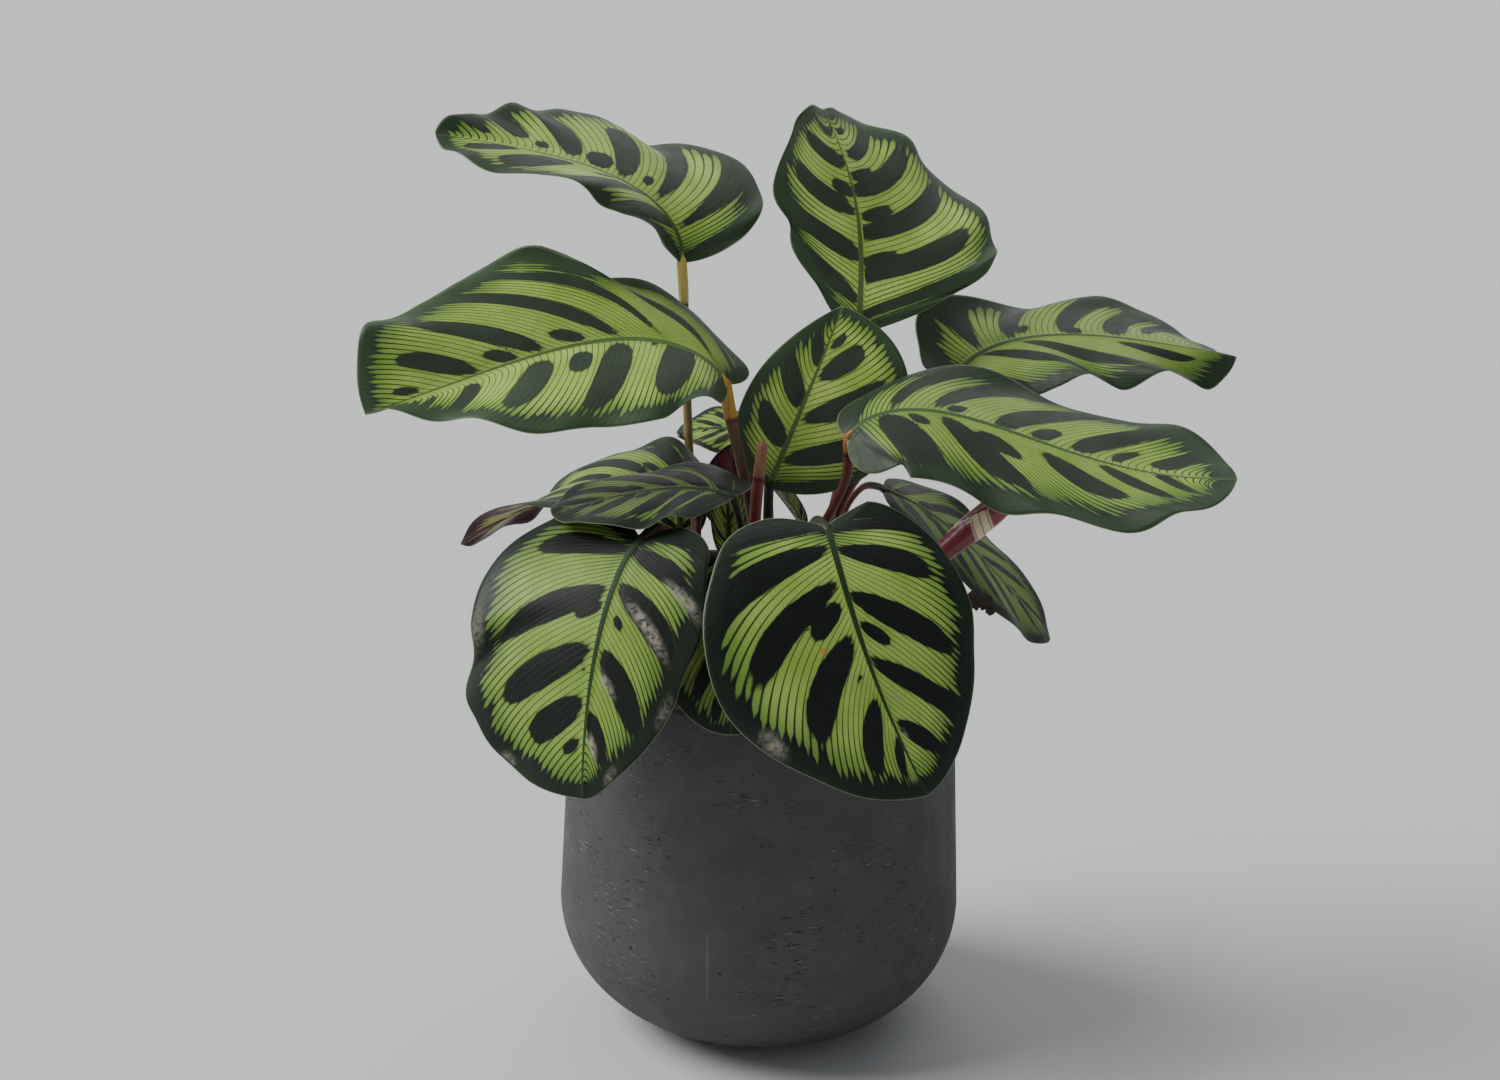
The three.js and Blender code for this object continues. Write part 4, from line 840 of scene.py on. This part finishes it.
def makeSpear(stalkSkin):
    foot, tip = (np.array(spearSet[key], dtype=float) for key in ("foot", "tip"))
    length = np.linalg.norm(tip - foot)
    axis = (tip - foot) / length
    side = np.cross(axis, (0, 0, 1))
    side /= np.linalg.norm(side)
    share = np.linspace(0, 1, spearSet["rings"])[:, None]
    radius = np.interp(share[:, 0], *zip(*spearSet["radii"]))[:, None]
    soft = np.convolve(np.pad(radius[:, 0], 3, mode="edge"), np.ones(7) / 7, mode="valid")[:, None]
    radius = np.where((share < 0.03) | (share > 0.96), radius, np.minimum(soft, radius + 0.2))
    angle = np.arange(spearSet["sides"])[None, :] / spearSet["sides"]
    seam = (angle - spearSet["seamStart"] - spearSet["seamTurns"] * share) % 1.0
    radius = (radius * (1 + spearSet["seamStep"] * (seam - 0.5) * np.clip(share * 8, 0, 1)))[:, :, None]
    turn = 2 * np.pi * angle[:, :, None]
    points = (foot + axis * (length * share)[:, :, None]
              + radius * (np.cos(turn) * side + np.sin(turn) * np.cross(axis, side))).reshape(-1, 3)
    piece = newPiece("spearNewLeaf", np.vstack([points, foot, tip]) * mm, ringFaces(*seam.shape))
    addField(piece, "seam", np.concatenate([seam.ravel(), [0, 0]]))
    addField(piece, "share", np.concatenate([np.repeat(share, spearSet["sides"]), [0, 1]]))
    material, where = newMaterial("rolledLeafSkin")
    band = readField(where.tree, "share") + readField(where.tree, "seam") * 0.2
    stripes = [ease(abs(band - spearSet[key][0]), *spearSet[key][1:]) for key in ("streak", "patch")]
    lines = ease(abs(calc("FRACT", band * 19.0) - 0.5), 0.36, 0.46)
    maroon = mix(cloud(stretch(where, 500, 500, 500), 1.0), "652230", "7f3440")
    colour = mix(calc("MAXIMUM", *stripes), maroon, mix(lines * 0.7, "cfc3a2", "5d2a30"))
    finishMaterial(material, colour, 0.32, relief(lines, 0.25, 0.0003))
    settle(piece, "spear_new_leaf", "rolled_leaf", material)
    radius, points = spearSet["stalk"]
    path, at = stalkPath(points, [spearSet["foot"]])
    stem = tube("stalkNewLeaf", path, np.full(len(at), radius))
    finishStalk(stem, "stalk_new_leaf", "stalk", stalkSkin, at, at[-1] + stalkSet["noJoint"])


def makeStump(stalkSkin):
    path, at = stalkPath(cutSet["points"])
    piece = tube("stalkCut", path, cutSet["radius"] * np.interp(at[-1] - at, *cutSet["shrivel"]))
    finishStalk(piece, "stalk_cut", "stalk", stalkSkin, at, at[-1] - 2)


def makeScrap():
    material, where = newMaterial("driedLeafSkin")
    finishMaterial(material, mix(cloud(where, 350.0, 5.0, 0.6), "1c1715", "4d4440"), 0.9,
                   relief(cloud(where, 500.0, 4.0), 0.6, 0.0006))
    path, at = curveThrough(driedSet["points"], 0.8)
    tangent = tangentsOf(path)
    across = np.tile((0.05, 1.0, 0.1), (len(path), 1))
    across -= tangent * (across * tangent).sum(1)[:, None]
    across /= np.linalg.norm(across, axis=1)[:, None]
    normal = np.cross(tangent, across)
    turn = math.radians(driedSet["turn"])
    across, normal = (across * math.cos(turn) + normal * math.sin(turn),
                      normal * math.cos(turn) - across * math.sin(turn))
    share, columns, folds = at / at[-1], driedSet["columns"], driedSet["folds"]
    width = driedSet["width"] * (0.35 + 0.65 * np.sin(np.pi * np.clip(share * 0.85 + 0.1, 0, 1)) ** 0.7)
    width = width * (1 + 0.35 * np.sin(9 * share + 1) * np.sin(14 * share))
    few = np.random.default_rng(driedSet["seed"]).uniform(-1, 1, (folds, columns)) * driedSet["crumple"]
    rings = []
    for face in (1, -1):
        for k in range(columns):
            aside = k / (columns - 1) - 0.5
            bump = np.interp(share, np.linspace(0, 1, folds), few[:, k])
            lift = 0.6 * (4.4 * aside ** 2 - 0.5) + 0.5 * bump + face * driedSet["thickness"] / 2
            rings.append(path + across * (aside * width)[:, None] + normal * lift[:, None])
    upper, under, edge = sheetFaces(columns, len(path))
    faces = np.concatenate([upper, np.roll(under, 1, axis=1), edge])
    piece = newPiece("leafDriedScrap", np.concatenate(rings) * mm, faces.tolist())
    settle(piece, "leaf_dried", "dry_leaf", material)
    radius, stem = driedSet["stalk"]
    path, at = stalkPath(stem)
    dry = tube("stalkDried", path, np.full(len(at), radius), 10)
    finishStalk(dry, "stalk_dried", "dry_leaf", material, at, at[-1] + stalkSet["noJoint"], 10)
    for k, points in enumerate(driedSet["sprig"]):  # a tiny dried sprig beside a stalk
        path, at = curveThrough(points, 0.5)
        piece = tube("driedSprig%d" % k, path, np.interp(at / at[-1], (0, 0.5, 1), (0.5, 0.45, 0.12)), 8)
        settle(piece, driedSet["sprigOn"], "dry_leaf", material)


# the pot
potSet = {
    "height": 176, "topRadius": 89, "bellyRadius": 95, "cornerWide": 62, "cornerHigh": 58,
    "wall": 7, "floor": 12, "rimRound": 2.4, "rimSteps": 8, "sides": 160, "cornerSteps": 28, "sideSteps": 22,
    "seam": {"x": -22, "low": 42, "high": 80},  # a faint upright line on the front
}


def wallCurve(inset, floor, top):  # [radius, z] from the corner up the side
    belly, wide, high = potSet["bellyRadius"], potSet["cornerWide"], potSet["cornerHigh"]
    made = []
    for k in range(potSet["cornerSteps"] + 1):
        angle = k / potSet["cornerSteps"] * math.pi / 2
        made.append((belly - wide + (wide - inset) * math.sin(angle), floor + (high - floor) * (1 - math.cos(angle))))
    taper = (belly - potSet["topRadius"]) / (potSet["height"] - high)
    for k in range(1, potSet["sideSteps"] + 1):
        z = high + (top - high) * k / potSet["sideSteps"]
        made.append((belly - inset - taper * (z - high), z))
    return made


def potProfile():
    bend, top, floor = potSet["rimRound"], potSet["height"], potSet["floor"]
    angles = [k / potSet["rimSteps"] * math.pi / 2 for k in range(1, potSet["rimSteps"])]
    outer = [(r, 0) for r in (0, 10, 20, 28)] + wallCurve(0, 0, top - bend)
    outR, inR = outer[-1][0], potSet["topRadius"] - potSet["wall"]
    lip = [(outR - bend * (1 - math.cos(a)), top - bend * (1 - math.sin(a))) for a in angles]
    lip += [(outR - bend, top), (inR + bend, top)]
    lip += [(inR + bend * (1 - math.sin(a)), top - bend * (1 - math.cos(a))) for a in angles]
    return outer + lip + wallCurve(potSet["wall"], floor, top - bend)[::-1] + [(15, floor), (0, floor)]


def newTree(name, inputs):  # a geometry group and its inputs
    tree = bpy.data.node_groups.new(name, "GeometryNodeTree")
    for key, kind in inputs.items():
        tree.interface.new_socket(name=key, in_out="INPUT", socket_type="NodeSocket" + kind)
    tree.interface.new_socket(name="Geometry", in_out="OUTPUT", socket_type="NodeSocketGeometry")
    given = tree.nodes.new("NodeGroupInput")
    return tree, [Value(given.outputs[key]) for key in inputs]


def finishTree(tree, geometry, finish):
    real = grow(tree, "GeometryNodeRealizeInstances", (geometry,))
    skinned = grow(tree, "GeometryNodeSetMaterial", {"Geometry": real, "Material": finish})
    join(skinned, tree.nodes.new("NodeGroupOutput").inputs[0])
    return tree


def turnedTree():  # turns a profile's points, in x and z, about the upright axis
    tree, (profile, sides, finish) = newTree("turnedShape",
                                             {"Profile": "Geometry", "Sides": "Int", "Finish": "Material"})
    count = grow(tree, "GeometryNodeAttributeDomainSize", {"Geometry": profile}, "Point Count", component="MESH")
    columns = sides + 1.0
    grid = grow(tree, "GeometryNodeMeshGrid", {"Vertices X": count, "Vertices Y": columns}, "Mesh")
    index = grow(tree, "GeometryNodeInputIndex")
    row = calc("FLOOR", (index + 0.5) / columns)
    angle = (index - row * columns) / sides * (2 * math.pi)
    spot = grow(tree, "GeometryNodeSampleIndex",
                {"Geometry": profile, "Value": grow(tree, "GeometryNodeInputPosition"), "Index": row},
                data_type="FLOAT_VECTOR", domain="POINT")
    x, z = apart(spot)[::2]
    turned = joined(x * calc("COSINE", angle), x * calc("SINE", angle), z)
    moved = grow(tree, "GeometryNodeSetPosition", {"Geometry": grid, "Position": turned})
    merged = grow(tree, "GeometryNodeMergeByDistance", {"Geometry": moved, "Distance": 1e-5})
    return finishTree(tree, grow(tree, "GeometryNodeSetShadeSmooth", {"Geometry": merged}), finish)


def applyTree(name, source, tree, values):  # the tree's result on source, as a plain mesh piece
    modifier = source.modifiers.new("grow", "NODES")
    modifier.node_group = tree
    sockets = {item.name: item.identifier for item in tree.interface.items_tree
               if item.item_type == "SOCKET" and item.in_out == "INPUT"}
    for key, value in values.items():
        modifier[sockets[key]] = value
    mesh = bpy.data.meshes.new_from_object(source.evaluated_get(bpy.context.evaluated_depsgraph_get()))
    mesh.name = name
    bpy.data.objects.remove(source)
    return show(bpy.data.objects.new(name, mesh))


def potMaterial():
    material, where = newMaterial("fibreClay")
    patches = ease(cloud(where, 24.0), 0.46, 0.62)
    pits = ease(cloud(stretch(where, 200.0, 200.0, 1050.0), 1.0, 2.0), 0.64, 0.68) * patches
    lone = ease(cloud(stretch(where, 1.0, 1.0, 1.3), 190.0, 1.5), 0.745, 0.765)
    holes = calc("MAXIMUM", pits, lone)
    glint = ease(cloud(stretch(where, 170.0, 170.0, 1500.0), 1.0, 2.0), 0.66, 0.72) * patches * 0.55
    x, y, z = apart(where)
    middle, low, high = (potSet["seam"][key] * mm for key in ("x", "low", "high"))
    inSeam = ease(z, low, low + 0.01) * ease(z, high, high - 0.01) * calc("LESS_THAN", y, 0.0)
    seam = ease(abs(x - middle), 0.0006, 0.0002) * inSeam * 0.27
    colour = layered(mix(cloud(where, 14.0, 5.0, 0.6), "363739", "424346"),
                     (ease(cloud(where, 160.0, 4.0, 0.7), 0.5, 0.8, 0.0, 0.3), "55565a"),
                     (glint, "8a8b90"), (holes, "101013"), (seam, "77787c"))
    height = cloud(where, 240.0, 5.0, 0.7) * 0.4 - holes
    return finishMaterial(material, colour, ease(cloud(where, 60.0, 4.0), 0.3, 0.7, 0.66, 0.84),
                          relief(height, 0.6, 0.0009))


def makePot():
    profile = potProfile()
    mesh = bpy.data.meshes.new("potProfile")
    mesh.from_pydata([(r * mm, 0, z * mm) for r, z in profile], [(k, k + 1) for k in range(len(profile) - 1)], [])
    source = show(bpy.data.objects.new("potProfile", mesh))
    pot = applyTree("potShell", source, turnedTree(), {"Sides": potSet["sides"], "Finish": potMaterial()})
    rework(pot, turnOutward)
    settle(pot, "pot", "fibre_clay")


# the soil
soilSet = {  # mm; strewn: piece, lumps on the whole, size, flatness and the skin's five values
    "level": 160, "bump": 1.6, "rough": 0.35, "gap": 0.3, "rings": 46, "sides": 110, "seed": 7, "upright": 0.75,
    "strewn": (("soilCrumbs", 2600, 1.5, 1.0, ("darkEarth", "1c130d", "3b2b20", 220.0, 1.0)),
               ("soilChips", 260, 3.4, 0.5, ("barkChips", "2a1a12", "5a4030", 260.0, 0.9)),
               ("soilPearls", 46, 1.7, 1.0, ("palePearls", "b9b2a4", "ddd8cc", 500.0, 0.85))),
    "turn": ((-0.5, -0.5, 0), (0.5, 0.5, 6.28)), "scale": ((0.5, 0.4, 0.35), (1.5, 1.1, 0.8)),
}


def soilMound(x, y):
    broad = np.sin(x / 15 + 1) * np.cos(y / 13 - 0.5)
    small = np.sin(x / 7 - y / 9) * np.sin(y / 6 + 2)
    return soilSet["level"] + soilSet["bump"] * (0.65 * broad + 0.35 * small)


def scatterTree():  # small lumps strewn over the faces that look up
    tree, (surface, count, size, flat, seed, finish) = newTree(
        "strewnLumps", {"Surface": "Geometry", "Count": "Float", "Size": "Float", "Flat": "Float", "Seed": "Int",
                        "Finish": "Material"})
    lookingUp = grow(tree, "FunctionNodeCompare",
                     (apart(grow(tree, "GeometryNodeInputNormal"))[2], soilSet["upright"]),
                     data_type="FLOAT", operation="GREATER_THAN")
    points = grow(tree, "GeometryNodeDistributePointsOnFaces",
                  {"Mesh": surface, "Selection": lookingUp, "Density": count, "Seed": seed}, "Points")
    noise = grow(tree, "ShaderNodeTexNoise", {"Scale": 1.7}, "Color")
    uneven = grow(tree, "ShaderNodeVectorMath", (noise, (0.5, 0.5, 0.5)), operation="SUBTRACT")
    lump = grow(tree, "GeometryNodeMeshIcoSphere", {"Subdivisions": 1, "Radius": 0.5})
    lump = grow(tree, "GeometryNodeSetPosition", {"Geometry": lump, "Offset": uneven})
    turn, scale = (grow(tree, "FunctionNodeRandomValue", {0: low, 1: high, "Seed": seed}, data_type="FLOAT_VECTOR")
                   for low, high in (soilSet["turn"], soilSet["scale"]))
    sized = grow(tree, "ShaderNodeVectorMath", (scale, joined(size, size, size * flat)), operation="MULTIPLY")
    strewn = grow(tree, "GeometryNodeInstanceOnPoints",
                  {"Points": points, "Instance": lump, "Rotation": turn, "Scale": sized})
    return finishTree(tree, strewn, finish)


def soilMaterial(name, dark, light, scale, rough):
    material, where = newMaterial(name)
    return finishMaterial(material, mix(cloud(where, scale, 5.0, 0.65), dark, light), rough,
                          relief(cloud(where, 2.5 * scale, 4.0), 0.8, 0.0008))


def makeSoil():
    bottom, sides = potSet["floor"] + soilSet["gap"], soilSet["sides"]
    wall = wallCurve(potSet["wall"] + soilSet["gap"], bottom, soilSet["level"])
    edge = wall[-1][0]
    rings = wall + [(edge * k / soilSet["rings"], None) for k in range(soilSet["rings"] - 1, 0, -1)]
    angle = 2 * np.pi * np.arange(sides) / sides
    dice = np.random.default_rng(soilSet["seed"])
    points = []
    for k, (radius, z) in enumerate(rings):
        x, y = radius * np.cos(angle), radius * np.sin(angle)
        height = soilMound(x, y) if k >= len(wall) - 1 else np.full(sides, z)
        if z is None:
            height = height + dice.uniform(-soilSet["rough"], soilSet["rough"], sides)
        points.append(np.stack([x, y, height], 1))
    points = np.concatenate(points + [[(0, 0, bottom)], [(0, 0, soilMound(0, 0))]])
    body = newPiece("soilBody", points * mm, ringFaces(len(rings), sides))
    tree, area, skins = scatterTree(), math.pi * (edge * mm) ** 2, []
    for k, (name, number, size, flat, skin) in enumerate(soilSet["strewn"]):
        skins.append(soilMaterial(*skin))
        source = show(body.copy())
        source.data = body.data.copy()
        lumps = applyTree(name, source, tree, {"Count": number / area, "Size": size * mm, "Flat": flat,
                                               "Seed": soilSet["seed"] + k, "Finish": skins[-1]})
        settle(lumps, "soil", "soil")
    settle(body, "soil", "soil", skins[0])


print("stage: camera, lights and floor")
makeStage()
print("stage: pot and soil")
makePot()
makeSoil()
print("stage: leaves and stalks")
pattern = makePatternGroup()
leafSkins = (leafTopMaterial(pattern), leafUnderMaterial(pattern))
redStalk = stalkMaterial("redBrownStalk", "4a2a22", "6b4034", "1e2a18", "3d2a1c")
otherStalks = {
    "upper_left": stalkMaterial("yellowJointStalk", "7a483e", "82724a", "bcb058", "5b3a22", 19, (110.0, 126.0)),
    "left": stalkMaterial("ochreJointStalk", "43261f", "5f4733", "b58a3c", "5b3420"),
    "right": stalkMaterial("orangeJointStalk", "3d211b", "5c3326", "94602f", "3a211a", 7),
}
for leafName, leafShape in leafShapes.items():
    shape = {**usualShape, **leafShape}
    rib = makeBlade(leafName, shape, {**usualLook, **leafLooks[leafName]}, leafSkins)
    makeStalk(leafName, shape, rib, otherStalks.get(leafName, redStalk))
print("stage: new leaf, stump and withered scrap")
makeSpear(redStalk)
makeStump(stalkMaterial("cutStalkSkin", "4a2420", "7c3f38", "966a4c", "5a2e26", 14))
makeScrap()
